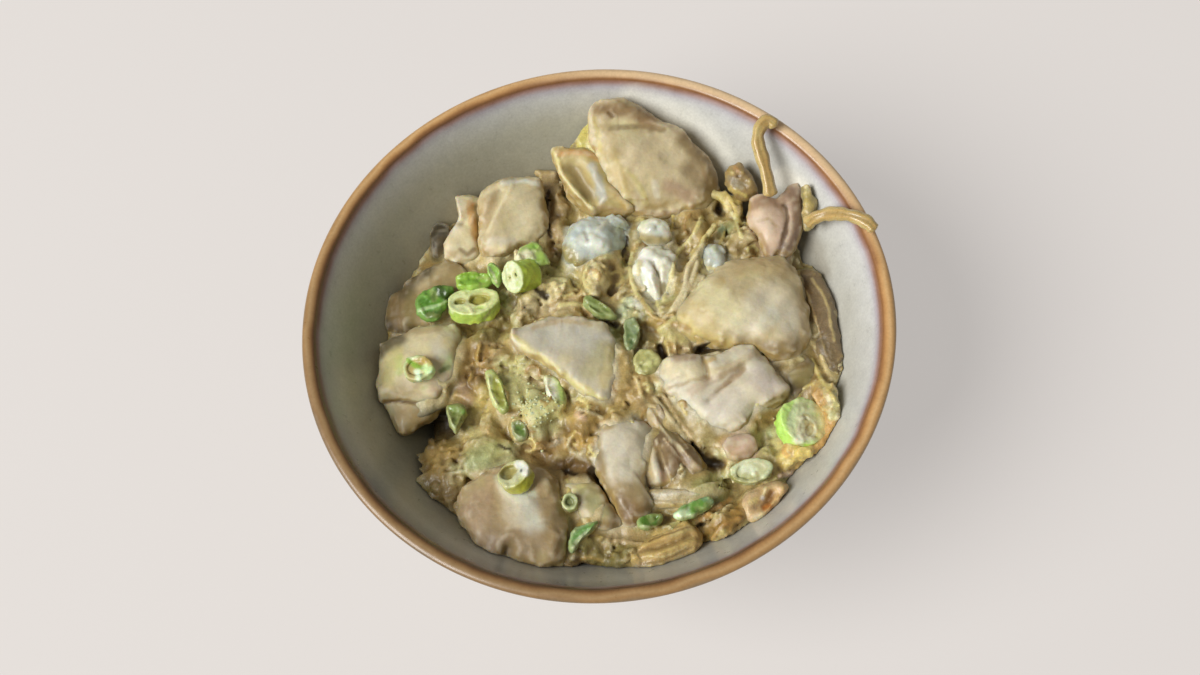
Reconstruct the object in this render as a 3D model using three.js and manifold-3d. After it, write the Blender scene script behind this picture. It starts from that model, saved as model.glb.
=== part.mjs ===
// A stoneware bowl of simmered chicken and egg, in millimetres, +Z up.
// The origin is the centre of the foot ring's flat underside. The bowl is a revolved shell. The egg bed
// fills it up to an uneven surface, and the chicken, egg whites, spring onion and onion strands lie on it.
import * as THREE from "three";
import { mergeVertices } from "three/addons/utils/BufferGeometryUtils.js";
import Module from "manifold-3d";

const wasm = await Module();
wasm.setup();

// Driving dimensions of the bowl
const RIM_RADIUS = 82.5;
const RIM_HEIGHT = 64;
const WALL = 3.6;
const BASE_THICKNESS = 5;
const FLOOR_HEIGHT = 8;
const FOOT_OUTER_RADIUS = 35;
const FOOT_INNER_RADIUS = 31;
const FOOT_RECESS = 2.6;
const BOWL_CURVE = 0.38;
const BOWL_SEGMENTS = 54;
const BOWL_STEPS = 9;
const LIP_STEPS = 4;
const LIP_DROP = 0.8;

// Driving dimensions of the food
const GAP = 0.4;
const LEVEL_AT_WALL = 40.5;
const LEVEL_TILT_X = 0.05;
const LEVEL_TILT_Y = -0.045;
const BED_CROWN = 5.5;
const BED_CROWN_RADIUS = 68;
const BED_RIPPLE = 0.9;
const BED_SEGMENTS = 36;
const BED_RINGS = 8;
const BED_FLOOR_RINGS = 4;
const BED_SPREAD = 1.04;
const CAVITY_STEPS = 7;
const STRAND_RADIUS = 1.9;
const STRAND_SIDES = 8;
const STRAND_STEPS = 12;
const RING_SIDES = 12;

// Subdivisions of the icosahedron that a lobe is made from
const FINE = 3;
const MEDIUM = 2;
const SMALL = 1;

const COLOURS = {
  glaze: 0x9b9a8c,
  egg: 0xb79a55,
  chicken: 0xcdbf93,
  pinkMeat: 0xcfae98,
  eggWhite: 0xd3d6c6,
  onionGreen: 0x79ad3e,
  onionPale: 0xbfd68c,
  strand: 0xb59b5e,
};

const INNER_RADIUS = RIM_RADIUS - WALL;
const deg = THREE.MathUtils.degToRad;

// The photograph's viewpoint, from the ellipse of the rim. Outlines below are read off the photograph in
// its pixels, and a ray from this viewpoint carries each of them to its height in the bowl.
const VIEW = {
  width: 1200,
  height: 675,
  elevation: deg(64.21),
  roll: deg(-5.712),
  focalPixels: 1522.97,
  target: new THREE.Vector3(0.161, -7.658, 64),
  distance: 420,
};
const viewBack = new THREE.Vector3(0, -Math.cos(VIEW.elevation), Math.sin(VIEW.elevation));
const viewEye = VIEW.target.clone().addScaledVector(viewBack, VIEW.distance);
const viewRight = new THREE.Vector3(1, 0, 0).applyAxisAngle(viewBack, VIEW.roll);
const viewUp = viewBack.clone().cross(viewRight);

// The point where the ray of a pixel meets the plane z = height + slope . (x - x0, y - y0).
function onPlane([px, py], height, slope = [0, 0], origin = [0, 0]) {
  const ray = viewBack.clone().multiplyScalar(-VIEW.focalPixels);
  ray.addScaledVector(viewRight, px - VIEW.width / 2);
  ray.addScaledVector(viewUp, VIEW.height / 2 - py);
  const lift = slope[0] * (viewEye.x - origin[0]) + slope[1] * (viewEye.y - origin[1]);
  const above = viewEye.z - height - lift;
  const fall = slope[0] * ray.x + slope[1] * ray.y - ray.z;
  return viewEye.clone().addScaledVector(ray, above / fall);
}

// The inner face of the bowl: its height at a radius.
const wallHeight = (r) =>
  FLOOR_HEIGHT + (RIM_HEIGHT - FLOOR_HEIGHT) * (r / INNER_RADIUS) ** (1 / BOWL_CURVE);

// Solids

function solidOf(geometry) {
  const bare = geometry.clone();
  for (const name of Object.keys(bare.attributes)) {
    if (name !== "position") bare.deleteAttribute(name);
  }
  const merged = mergeVertices(bare, 1e-4);
  const kept = [];
  const index = merged.index.array;
  for (let i = 0; i < index.length; i += 3) {
    const [a, b, c] = index.slice(i, i + 3);
    if (a !== b && b !== c && a !== c) kept.push(a, b, c);
  }
  const mesh = new wasm.Mesh({
    numProp: 3,
    vertProperties: merged.attributes.position.array,
    triVerts: new Uint32Array(kept),
  });
  return new wasm.Manifold(mesh);
}

function geometryOf(solid) {
  const mesh = solid.getMesh();
  const position = new Float32Array(mesh.numVert * 3);
  for (let i = 0; i < mesh.numVert; i++) {
    const from = i * mesh.numProp;
    position.set(mesh.vertProperties.subarray(from, from + 3), i * 3);
  }
  const geometry = new THREE.BufferGeometry();
  geometry.setAttribute("position", new THREE.BufferAttribute(position, 3));
  geometry.setIndex(new THREE.BufferAttribute(new Uint32Array(mesh.triVerts), 1));
  geometry.computeVertexNormals();
  return geometry;
}

function largestBody(solid, name) {
  const bodies = solid.decompose();
  if (!bodies.length) throw new Error(name + " is buried by the pieces before it");
  return bodies.reduce((best, body) => (body.volume() > best.volume() ? body : best));
}

function revolved(profile) {
  const points = profile.map(([r, z]) => new THREE.Vector2(r, z));
  const geometry = new THREE.LatheGeometry(points, BOWL_SEGMENTS);
  geometry.rotateX(Math.PI / 2);
  return solidOf(geometry);
}

// Bowl

// Points of the inner face from the centre of the floor to the lip, pushed inwards by an allowance.
function innerProfile(allowance, steps) {
  const points = [];
  for (let i = 0; i <= steps; i++) {
    const r = (INNER_RADIUS * i) / steps;
    points.push([Math.max(0, r - allowance), wallHeight(r) + allowance * (1 - r / INNER_RADIUS)]);
  }
  return points;
}

function outerProfile() {
  const points = [];
  for (let i = BOWL_STEPS; i > 3; i--) {
    const r = (INNER_RADIUS * i) / BOWL_STEPS;
    const slope = (wallHeight(r + 0.1) - wallHeight(r - 0.1)) / 0.2;
    const length = Math.hypot(1, slope);
    const thickness = BASE_THICKNESS + (WALL - BASE_THICKNESS) * (i / BOWL_STEPS);
    points.push([r + (thickness * slope) / length, wallHeight(r) - thickness / length]);
  }
  return points;
}

function lipProfile() {
  const points = [[INNER_RADIUS, RIM_HEIGHT - LIP_DROP]];
  const radius = WALL / 2;
  for (let i = 1; i <= LIP_STEPS; i++) {
    const turn = (Math.PI * i) / LIP_STEPS;
    const r = RIM_RADIUS - radius - radius * Math.cos(turn);
    points.push([r, RIM_HEIGHT - LIP_DROP + radius * 0.6 * Math.sin(turn)]);
  }
  return points;
}

function bowlSolid() {
  const foot = [
    [FOOT_OUTER_RADIUS + 1.2, 2.4],
    [FOOT_OUTER_RADIUS, 0],
    [FOOT_INNER_RADIUS, 0],
    [FOOT_INNER_RADIUS - 1, FOOT_RECESS],
    [0, FOOT_RECESS],
  ];
  const inner = innerProfile(0, BOWL_STEPS).slice(0, -1);
  return revolved([...inner, ...lipProfile(), ...outerProfile(), ...foot].reverse());
}

// The room that the food may take: the bowl's hollow less a gap, open far above the rim.
function cavitySolid() {
  const profile = innerProfile(GAP, CAVITY_STEPS);
  const top = RIM_HEIGHT + 40;
  const mouth = profile[profile.length - 1][0];
  return revolved([...profile, [mouth, top], [0, top]]);
}

// Lobes. A lobe is an outline on the photograph, laid on a plane at a height with a slope in x and y, and
// rounded up to its rise and down to its sink. A groove runs between two pixels on its top, with a width
// and a depth.

function outlineOf({ outline, height, rise, slope = [0, 0] }) {
  const middle = [0, 1].map((k) => outline.reduce((sum, p) => sum + p[k], 0) / outline.length);
  const centre = onPlane(middle, height);
  const origin = [centre.x, centre.y];
  const toPlan = (pixel) => onPlane(pixel, height, slope, origin).sub(centre);
  const toTop = (pixel) => onPlane(pixel, height + 0.85 * rise, slope, origin).sub(centre);
  const curve = new THREE.CatmullRomCurve3(outline.map(toPlan), true, "catmullrom", 0.5);
  const points = curve.getPoints(8 * outline.length);
  const rim = points.map((p) => [Math.atan2(p.y, p.x), Math.hypot(p.x, p.y)]);
  rim.sort((a, b) => a[0] - b[0]);
  const last = rim[rim.length - 1];
  rim.unshift([last[0] - 2 * Math.PI, last[1]]);
  rim.push([rim[1][0] + 2 * Math.PI, rim[1][1]]);
  const radiusAt = (angle) => {
    const next = rim.findIndex((p) => p[0] > angle);
    const [a, b] = [rim[next - 1], rim[next]];
    return a[1] + ((b[1] - a[1]) * (angle - a[0])) / (b[0] - a[0]);
  };
  return { centre, radiusAt, toTop };
}

function toSegment(x, y, a, b) {
  const [runX, runY] = [b.x - a.x, b.y - a.y];
  const along = ((x - a.x) * runX + (y - a.y) * runY) / (runX ** 2 + runY ** 2);
  const t = Math.min(1, Math.max(0, along));
  return Math.hypot(x - a.x - t * runX, y - a.y - t * runY);
}

function waves(x, y, z, seed) {
  return (
    Math.sin(0.42 * x + 1.7 * seed) * Math.cos(0.37 * y - seed) +
    0.8 * Math.sin(0.33 * y + 0.5 * z + 0.6 * seed) +
    0.5 * Math.sin(0.71 * x - 0.64 * y + 2.1 * seed)
  );
}

function lobeSolid(lobe, grow) {
  const { height, slope = [0, 0], rise, sink } = lobe;
  const { power = 2.5, ripple = 0.35, grooves = [], detail = MEDIUM } = lobe;
  const { centre, radiusAt, toTop } = outlineOf(lobe);
  const ends = grooves.map(([a, b]) => [toTop(a), toTop(b)]);
  const geometry = new THREE.IcosahedronGeometry(1, detail);
  const position = geometry.attributes.position;
  const u = new THREE.Vector3();
  for (let i = 0; i < position.count; i++) {
    u.fromBufferAttribute(position, i);
    const side = Math.hypot(u.x, u.y);
    const fullness = (side ** power + Math.abs(u.z) ** power) ** (-1 / power);
    const reach = (radiusAt(Math.atan2(u.y, u.x)) + grow) * fullness;
    const deep = ((u.z > 0 ? rise : sink) + grow) * fullness;
    const x = u.x * reach;
    const y = u.y * reach;
    let z = u.z * deep + ripple * waves(x, y, u.z * deep, rise + height) * Math.max(0, u.z);
    for (let k = 0; k < grooves.length; k++) {
      const [, , width, depth] = grooves[k];
      z -= depth * Math.exp(-((toSegment(x, y, ...ends[k]) / width) ** 2)) * Math.max(0, u.z);
    }
    z += slope[0] * x + slope[1] * y;
    position.setXYZ(i, centre.x + x, centre.y + y, height + z);
  }
  return solidOf(geometry);
}

const lumpSolid = (lobes, grow = 0) =>
  lobes.map((lobe) => lobeSolid(lobe, grow)).reduce((a, b) => a.add(b));

const CHICKEN = {
  chicken_centre: [
    {
      outline: [[511, 334], [530, 325], [560, 319], [595, 322], [612, 332], [619, 360], [619, 382],
        [608, 402], [590, 400], [565, 381], [540, 363], [517, 350]],
      height: 49.5, slope: [0.03, 0.1], rise: 4.2, sink: 6, power: 3.4, ripple: 0.15, detail: FINE,
    },
  ],
  chicken_right: [
    {
      outline: [[692, 294], [712, 275], [738, 262], [762, 259], [786, 263], [800, 284], [808, 315],
        [808, 340], [797, 360], [772, 362], [748, 350], [715, 349], [690, 344], [670, 330], [676, 312]],
      height: 47.5, slope: [0.03, 0], rise: 9.5, sink: 7, power: 2.3, ripple: 0.3, detail: FINE,
    },
  ],
  chicken_near_right: [
    {
      outline: [[658, 378], [664, 363], [690, 357], [712, 356], [738, 347], [757, 350], [775, 372],
        [790, 394], [776, 408], [757, 416], [744, 434], [716, 439], [690, 424], [668, 396]],
      height: 47, slope: [0.02, 0.05], rise: 7, sink: 6, power: 2.8, detail: FINE,
      grooves: [[[709, 399], [743, 370], 2.2, 1.5], [[703, 360], [707, 378], 2, 1.2]],
    },
  ],
  chicken_near: [
    {
      outline: [[604, 426], [622, 419], [642, 423], [655, 440], [648, 465], [646, 490], [654, 508],
        [640, 525], [622, 524], [612, 505], [600, 480], [594, 455], [596, 438]],
      height: 46.5, rise: 6, sink: 6, power: 2.5, detail: FINE,
    },
  ],
  chicken_near_shred: [
    {
      outline: [[652, 437], [668, 436], [690, 448], [706, 466], [700, 480], [678, 487], [655, 490],
        [646, 478], [648, 458]],
      height: 46.6, rise: 4.8, sink: 6, power: 2.4,
      grooves: [[[660, 448], [668, 484], 1.2, 1.4], [[676, 446], [690, 478], 1.2, 1.2]],
    },
    {
      outline: [[638, 403], [650, 396], [664, 408], [680, 436], [690, 452], [670, 446], [652, 428]],
      height: 46.5, rise: 3, sink: 4, power: 2.2, detail: SMALL,
      grooves: [[[648, 402], [676, 446], 1, 1.2]],
    },
  ],
  chicken_near_left: [
    {
      outline: [[463, 489], [485, 477], [505, 468], [530, 467], [555, 482], [563, 505], [566, 535],
        [566, 560], [548, 570], [520, 566], [497, 561], [478, 551], [464, 530], [456, 508]],
      height: 46.5, slope: [0, -0.08], rise: 7, sink: 7, power: 2.7, detail: FINE,
      grooves: [[[509, 546], [502, 566], 1.4, 4], [[500, 500], [492, 540], 3, 0.8]],
    },
  ],
  chicken_near_small: [
    {
      outline: [[566, 485], [585, 481], [600, 488], [612, 505], [622, 524], [605, 531], [588, 526],
        [578, 515], [570, 500]],
      height: 46.4, rise: 3.6, sink: 5, power: 2.4,
    },
  ],
  chicken_back: [
    {
      outline: [[590, 112], [607, 101], [632, 105], [662, 121], [696, 146], [717, 176], [714, 199],
        [690, 212], [652, 215], [620, 205], [604, 180], [592, 146]],
      height: 52, slope: [-0.08, 0.36], rise: 6.5, sink: 8, power: 2.6, ripple: 0.3, detail: FINE,
      grooves: [[[600, 122], [655, 130], 1.6, 0.9]],
    },
  ],
  chicken_back_fold: [
    {
      outline: [[553, 152], [575, 150], [596, 157], [608, 180], [622, 200], [634, 213], [600, 215],
        [580, 207], [566, 190], [557, 170]],
      height: 49.5, slope: [0.06, 0.24], rise: 4.4, sink: 6, power: 3,
      grooves: [[[574, 168], [592, 196], 2.2, 3]],
    },
  ],
  chicken_upper_left: [
    {
      outline: [[479, 199], [500, 184], [520, 180], [541, 183], [546, 205], [547, 233], [538, 245],
        [519, 250], [506, 260], [490, 261], [481, 246], [480, 222]],
      height: 45.5, slope: [0.02, 0.14], rise: 6.5, sink: 7, power: 3.2, ripple: 0.2, detail: FINE,
      grooves: [[[500, 192], [484, 230], 1.6, 1.2]],
    },
  ],
  chicken_upper_left_flap: [
    {
      outline: [[455, 199], [468, 197], [480, 202], [485, 220], [480, 240], [478, 260], [462, 264],
        [447, 260], [444, 247], [453, 230], [459, 215]],
      height: 43, slope: [-0.04, 0.1], rise: 4.6, sink: 6, power: 2.4,
      grooves: [[[462, 222], [476, 206], 1.4, 1.2]],
    },
  ],
  chicken_left_back: [
    {
      outline: [[431, 229], [440, 224], [455, 234], [449, 248], [446, 262], [434, 263], [430, 246]],
      height: 40, slope: [0.05, 0.3], rise: 2.6, sink: 4, power: 2.3, detail: SMALL,
    },
  ],
  chicken_left_deep: [
    {
      outline: [[446, 262], [425, 272], [405, 290], [384, 302], [382, 322], [396, 337], [420, 332],
        [446, 328], [462, 310], [470, 285], [462, 266]],
      height: 40.5, slope: [0.1, 0.04], rise: 4.8, sink: 7, power: 2.5,
    },
  ],
  chicken_left: [
    {
      outline: [[400, 337], [425, 327], [452, 326], [462, 337], [462, 365], [452, 390], [435, 404],
        [410, 406], [385, 403], [377, 388], [376, 365], [383, 348]],
      height: 43, slope: [0.08, 0], rise: 6.5, sink: 8, power: 2.5, detail: FINE,
    },
    {
      outline: [[391, 402], [400, 395], [425, 395], [440, 402], [436, 414], [418, 429], [405, 436],
        [396, 430]],
      height: 41.5, slope: [0.06, 0], rise: 4, sink: 5, power: 2.3, detail: SMALL,
    },
  ],
  chicken_rim: [
    {
      outline: [[749, 202], [765, 197], [782, 202], [790, 220], [788, 240], [777, 259], [765, 258],
        [756, 238], [748, 222]],
      height: 52, slope: [0, 0.2], rise: 4.8, sink: 5, power: 2.2,
    },
    {
      outline: [[776, 199], [790, 187], [802, 189], [805, 210], [801, 232], [790, 256], [778, 260],
        [777, 236], [778, 215]],
      height: 52, slope: [0.1, 0.2], rise: 4.2, sink: 4, power: 2.2, detail: SMALL,
    },
  ],
  chicken_scrap: [
    {
      outline: [[723, 445], [732, 437], [748, 436], [757, 447], [752, 460], [736, 461], [726, 456]],
      height: 48, rise: 2.8, sink: 3, power: 2.6, detail: SMALL,
    },
  ],
  chicken_right_low: [
    {
      outline: [[779, 367], [800, 358], [816, 365], [818, 382], [806, 394], [790, 395]],
      height: 46.5, rise: 3, sink: 4, power: 2.6, detail: SMALL,
    },
  ],
};
const PINK_PIECES = ["chicken_rim", "chicken_scrap"];

const EGG_WHITE = {
  egg_white_left: [
    {
      outline: [[565, 238], [573, 224], [592, 220], [606, 226], [613, 245], [612, 260], [592, 264],
        [575, 270], [564, 258]],
      height: 47, rise: 6, sink: 5, power: 2.3,
    },
    {
      outline: [[603, 224], [618, 219], [628, 228], [626, 243], [615, 255], [606, 250]],
      height: 46, rise: 4.6, sink: 4, power: 2.3, detail: SMALL,
    },
  ],
  egg_white_top: [
    {
      outline: [[638, 232], [642, 222], [655, 219], [667, 228], [671, 239], [658, 243], [644, 240]],
      height: 48, rise: 3.6, sink: 4, power: 2.3, detail: SMALL,
    },
  ],
  egg_white_middle: [
    {
      outline: [[636, 262], [645, 250], [662, 249], [677, 260], [676, 280], [664, 303], [648, 300],
        [636, 285]],
      height: 46.5, rise: 4.6, sink: 5, power: 2.4,
      grooves: [[[655, 262], [664, 298], 1.1, 1], [[644, 272], [652, 300], 1.1, 0.8]],
    },
  ],
  egg_white_right: [
    {
      outline: [[703, 256], [710, 247], [722, 251], [727, 264], [719, 275], [707, 271]],
      height: 48.5, rise: 3.4, sink: 4, power: 2.2, detail: SMALL,
    },
  ],
};

const EGG_FOLDS = {
  egg_fold_right: [
    {
      outline: [[797, 277], [814, 274], [830, 292], [838, 325], [844, 365], [838, 380], [822, 365],
        [812, 340], [806, 308]],
      height: 46.5, slope: [0.1, 0], rise: 3, sink: 4, power: 2.3,
    },
  ],
  egg_fold_near: [
    {
      outline: [[627, 560], [639, 546], [662, 533], [685, 524], [699, 530], [702, 545], [690, 558],
        [668, 566], [643, 570]],
      height: 47.5, slope: [0, -0.12], rise: 3.8, sink: 4, power: 2.4,
      grooves: [[[640, 552], [690, 536], 1.6, 1.4], [[640, 562], [688, 550], 1.2, 0.9]],
    },
  ],
  egg_fold_near_right: [
    {
      outline: [[744, 512], [746, 497], [760, 489], [775, 483], [787, 487], [778, 502], [768, 516],
        [755, 522]],
      height: 49.5, slope: [0.08, -0.08], rise: 3.4, sink: 4, power: 2.3,
      grooves: [[[758, 506], [776, 492], 1.1, 1.4]],
    },
  ],
  egg_fold_strip: [
    {
      outline: [[645, 493], [665, 489], [700, 492], [722, 482], [725, 490], [702, 503], [672, 508],
        [652, 505]],
      height: 47.5, rise: 2.2, sink: 4, power: 2.4, detail: 2,
    },
  ],
  egg_fold_far: [
    {
      outline: [[724, 174], [731, 167], [740, 162], [746, 172], [757, 190], [746, 198], [728, 188]],
      height: 52, slope: [0.1, 0.3], rise: 2.8, sink: 4, power: 2.3, detail: SMALL,
    },
  ],
};

// Spring onion. A ring is a short tube at a pixel and a height, a leaf a small lobe of green.
const RINGS = {
  onion_ring_big: {
    pixel: [474, 306], height: 47.6, outer: 7.4, inner: 4.4,
    length: 4.8, turn: [-20, 0, 0], squeeze: 0.8,
  },
  onion_ring_upper: {
    pixel: [522, 276], height: 50.4, outer: 4.7, inner: 1.4,
    length: 8, turn: [0, -53, 24], squeeze: 1,
  },
  onion_ring_standing: {
    pixel: [516, 477], height: 53.8, outer: 4.7, inner: 3.2,
    length: 4.4, turn: [-16, -18, 0], squeeze: 0.96,
  },
  onion_ring_small: {
    pixel: [570, 503], height: 50, outer: 2.2, inner: 1.1,
    length: 4, turn: [8, 0, 0], squeeze: 1.1,
  },
  onion_ring_right: {
    pixel: [802, 424], height: 50.8, outer: 7.2, inner: 4.4,
    length: 5, turn: [0, 20, 0], squeeze: 0.98,
  },
  onion_ring_near_right: {
    pixel: [751, 472], height: 50.6, outer: 6, inner: 3.8,
    length: 3, turn: [0, 0, 6], squeeze: 0.56,
  },
  onion_ring_left: {
    pixel: [418, 369], height: 51.4, outer: 4.7, inner: 3,
    length: 2.4, turn: [0, -10, -20], squeeze: 0.8,
  },
};

const leaf = (outline, height, slope = [0, 0]) => [
  { outline, height, slope, rise: 1.7, sink: 2, power: 2.3, ripple: 0, detail: SMALL },
];
const LEAVES = {
  onion_leaf_dark: leaf(
    [[415, 305], [423, 292], [440, 287], [452, 290], [446, 306], [438, 319], [424, 320]],
    46.4,
  ),
  onion_leaf_behind: leaf(
    [[456, 278], [470, 274], [490, 275], [492, 284], [475, 289], [458, 288]],
    48.2,
  ),
  onion_leaf_top: leaf(
    [[515, 256], [523, 247], [537, 243], [545, 254], [548, 264], [532, 266], [518, 264]],
    50.6,
  ),
  onion_leaf_sliver: leaf([[487, 266], [494, 264], [501, 274], [498, 285], [490, 280]], 48.6),
  onion_leaf_middle: leaf(
    [[486, 374], [496, 373], [504, 390], [509, 410], [502, 414], [492, 400]],
    48.4,
  ),
  onion_leaf_centre: leaf(
    [[545, 378], [556, 377], [565, 392], [564, 406], [555, 404], [547, 392]],
    49.2,
  ),
  onion_leaf_lower_left: leaf(
    [[446, 408], [458, 405], [467, 412], [462, 422], [456, 434], [450, 424]],
    46.4,
  ),
  onion_leaf_low: leaf([[511, 424], [520, 421], [527, 430], [526, 440], [515, 438]], 48),
  onion_leaf_heart: leaf([[583, 298], [592, 298], [608, 308], [616, 318], [602, 319], [588, 310]], 50),
  onion_leaf_dark_heart: leaf(
    [[625, 322], [636, 319], [641, 334], [634, 350], [626, 350], [624, 336]],
    50.4,
  ),
  onion_leaf_pale: leaf([[634, 356], [648, 350], [660, 356], [658, 370], [644, 376], [634, 368]], 49.6),
  onion_leaf_near: leaf([[674, 514], [690, 503], [708, 497], [714, 504], [700, 514], [682, 520]], 50.4),
  onion_leaf_near_small: leaf([[638, 520], [650, 515], [662, 517], [656, 526], [642, 529]], 50),
  onion_leaf_curl: leaf(
    [[568, 548], [572, 532], [586, 524], [598, 521], [594, 530], [582, 540], [574, 552]],
    49.4,
  ),
};

function ringSolid({ pixel, height, outer, inner, length, turn, squeeze }, grow = 0) {
  const hollow = Math.max(0.4, inner - grow);
  const big = outer + grow;
  const top = length / 2 + grow;
  const bevel = 0.5;
  const profile = [
    [hollow, -top], [big - bevel, -top], [big, -top + bevel], [big, top - bevel], [big - bevel, top],
    [hollow, top], [hollow, -top],
  ];
  const geometry = new THREE.LatheGeometry(profile.map(([r, z]) => new THREE.Vector2(r, z)), RING_SIDES);
  geometry.rotateX(Math.PI / 2);
  geometry.scale(1, squeeze, 1);
  const matrix = new THREE.Matrix4().makeRotationFromEuler(new THREE.Euler(...turn.map(deg), "ZYX"));
  matrix.setPosition(onPlane(pixel, height));
  return solidOf(geometry).transform(matrix.elements);
}

// Two strands of simmered onion that climb from the pink piece to the rim and bend over it: a pixel and a
// height for each point.
const STRANDS = {
  onion_strand_far: [
    [[771, 197], 57.5], [[768, 180], 60], [[763, 160], 62.8], [[758, 142], 65], [[760, 128], 66.6],
    [[768, 121], 67.3], [[777, 126], 66.9],
  ],
  onion_strand_side: [
    [[806, 224], 57], [[815, 218], 60], [[828, 214], 62.6], [[842, 214], 65.4], [[856, 217], 67.2],
    [[868, 223], 67.4], [[875, 231], 66.8],
  ],
};

function strandSolid(points, grow = 0) {
  const path = new THREE.CatmullRomCurve3(points.map(([pixel, height]) => onPlane(pixel, height)));
  const circle = new THREE.Shape();
  circle.absarc(0, 0, STRAND_RADIUS + grow, 0, 2 * Math.PI);
  const section = new THREE.Shape(circle.getPoints(STRAND_SIDES / 2).slice(0, -1));
  const settings = { steps: STRAND_STEPS, bevelEnabled: false, extrudePath: path };
  return solidOf(new THREE.ExtrudeGeometry(section, settings));
}

// Egg bed: closed polar grids, the upper one rippled and crowned, the lower one just clear of the bowl, with
// the larger curds added as lobes. A swell is a pixel, a width and a height.

const SWELLS = [
  [[597, 275], 8, 2.6], [[560, 300], 7, 2], [[520, 310], 6, 1.4], [[535, 400], 10, 2.6],
  [[580, 420], 7, 1.8], [[628, 380], 7, 3.2], [[690, 290], 6, 2.2], [[745, 245], 6, 4],
  [[735, 215], 5, 3], [[790, 450], 7, 2.4], [[730, 520], 6, 1.6], [[600, 555], 7, 1.8],
  [[665, 330], 6, 1.4], [[470, 355], 7, 1.6], [[690, 225], 6, 2],
];

const CURDS = [
  {
    outline: [[422, 437], [445, 437], [462, 444], [470, 462], [476, 485], [462, 500], [452, 515],
      [436, 504],
      [412, 485], [432, 472], [426, 458]],
    height: 40.5, rise: 3.4, sink: 4, power: 2.3, ripple: 0.5, detail: 2,
  },
  {
    outline: [[464, 447], [480, 438], [505, 440], [515, 452], [503, 462], [498, 476], [480, 480],
      [466, 474]],
    height: 44.5, rise: 3.2, sink: 4, power: 2.4, ripple: 0.3, detail: 2,
  },
  {
    outline: [[815, 384], [826, 384], [836, 400], [840, 418], [830, 412], [819, 402]],
    height: 49.5, rise: 2.4, sink: 5, power: 2.2, ripple: 0.3, detail: SMALL,
  },
  {
    outline: [[713, 539], [717, 520], [729, 505], [745, 511], [742, 525], [726, 538]],
    height: 48, slope: [0, -0.1], rise: 2.4, sink: 4, power: 2.3, ripple: 0.3, detail: SMALL,
  },
];

const swells = SWELLS.map(([pixel, width, height]) => [onPlane(pixel, 46), width, height]);

function bedHeight(x, y) {
  const r = Math.hypot(x, y);
  const level = LEVEL_AT_WALL + LEVEL_TILT_X * x + LEVEL_TILT_Y * y;
  const crown = BED_CROWN * Math.max(0, 1 - (r / BED_CROWN_RADIUS) ** 2);
  const ripple =
    Math.sin(0.31 * x + 1.3) * Math.cos(0.27 * y + 0.4) + 0.7 * Math.sin(0.47 * x - 0.38 * y + 2.2);
  let swell = 0;
  for (const [at, width, height] of swells) {
    swell += height * Math.exp(-((x - at.x) ** 2 + (y - at.y) ** 2) / width ** 2);
  }
  return level + crown + BED_RIPPLE * ripple + swell;
}

const bedUnderside = (r) => wallHeight(r + GAP) + GAP;

function bedEdge(angle) {
  let near = 30;
  let far = INNER_RADIUS;
  for (let i = 0; i < 30; i++) {
    const r = (near + far) / 2;
    if (bedHeight(r * Math.cos(angle), r * Math.sin(angle)) > bedUnderside(r)) near = r;
    else far = r;
  }
  return near;
}

function bedSolid() {
  const position = [];
  const index = [];
  const addPolarGrid = (height, rings, facingDown) => {
    const start = position.length / 3;
    position.push(0, 0, height(0, 0, 0));
    for (let ring = 1; ring <= rings; ring++) {
      for (let i = 0; i < BED_SEGMENTS; i++) {
        const angle = (2 * Math.PI * i) / BED_SEGMENTS;
        const r = (bedEdge(angle) * ring) / rings;
        const x = r * Math.cos(angle);
        const y = r * Math.sin(angle);
        position.push(x, y, ring === rings ? bedUnderside(r) : height(x, y, r));
      }
    }
    const at = (ring, i) => start + 1 + (ring - 1) * BED_SEGMENTS + (i % BED_SEGMENTS);
    const addFace = (a, b, c) => index.push(...(facingDown ? [a, c, b] : [a, b, c]));
    for (let i = 0; i < BED_SEGMENTS; i++) {
      addFace(start, at(1, i), at(1, i + 1));
      for (let ring = 1; ring < rings; ring++) {
        addFace(at(ring, i), at(ring + 1, i), at(ring + 1, i + 1));
        addFace(at(ring, i), at(ring + 1, i + 1), at(ring, i + 1));
      }
    }
  };
  addPolarGrid((x, y) => bedHeight(x, y), BED_RINGS, false);
  addPolarGrid((x, y, r) => bedUnderside(r), BED_FLOOR_RINGS, true);
  const geometry = new THREE.BufferGeometry();
  geometry.setAttribute("position", new THREE.Float32BufferAttribute(position, 3));
  geometry.setIndex(index);
  return solidOf(geometry);
}

// What cuts the pieces above is spread a little past the wall, so that it leaves no slivers there.
function bedWithCurds(grow) {
  const bed = bedSolid();
  const spread = [BED_SPREAD, BED_SPREAD, 1];
  const grown = grow > 0 ? bed.add(bed.scale(spread).translate([0, 0, grow])) : bed;
  return grown.add(lumpSolid(CURDS, grow).intersect(cavity));
}

// Assembly. Each piece is cut by the earlier ones, grown by the gap, so that it rests on them.

const cutters = [];

// A mesh stands at the middle of its solid's box, inside the group of its kind.
function addMesh(group, name, solid, colour, roughness) {
  const material = new THREE.MeshStandardMaterial({ color: colour, roughness, metalness: 0 });
  const geometry = geometryOf(solid);
  geometry.computeBoundingBox();
  const middle = geometry.boundingBox.getCenter(new THREE.Vector3());
  geometry.translate(-middle.x, -middle.y, -middle.z);
  const mesh = new THREE.Mesh(geometry, material);
  mesh.position.copy(middle);
  mesh.name = name;
  group.add(mesh);
}

function boxesMeet(a, b) {
  return [0, 1, 2].every((i) => a.min[i] < b.max[i] && b.min[i] < a.max[i]);
}

function clearOfEarlier(solid, name) {
  let left = solid;
  for (const cutter of cutters) {
    if (boxesMeet(left.boundingBox(), cutter.boundingBox())) left = left.subtract(cutter);
  }
  return largestBody(left, name);
}

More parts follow.
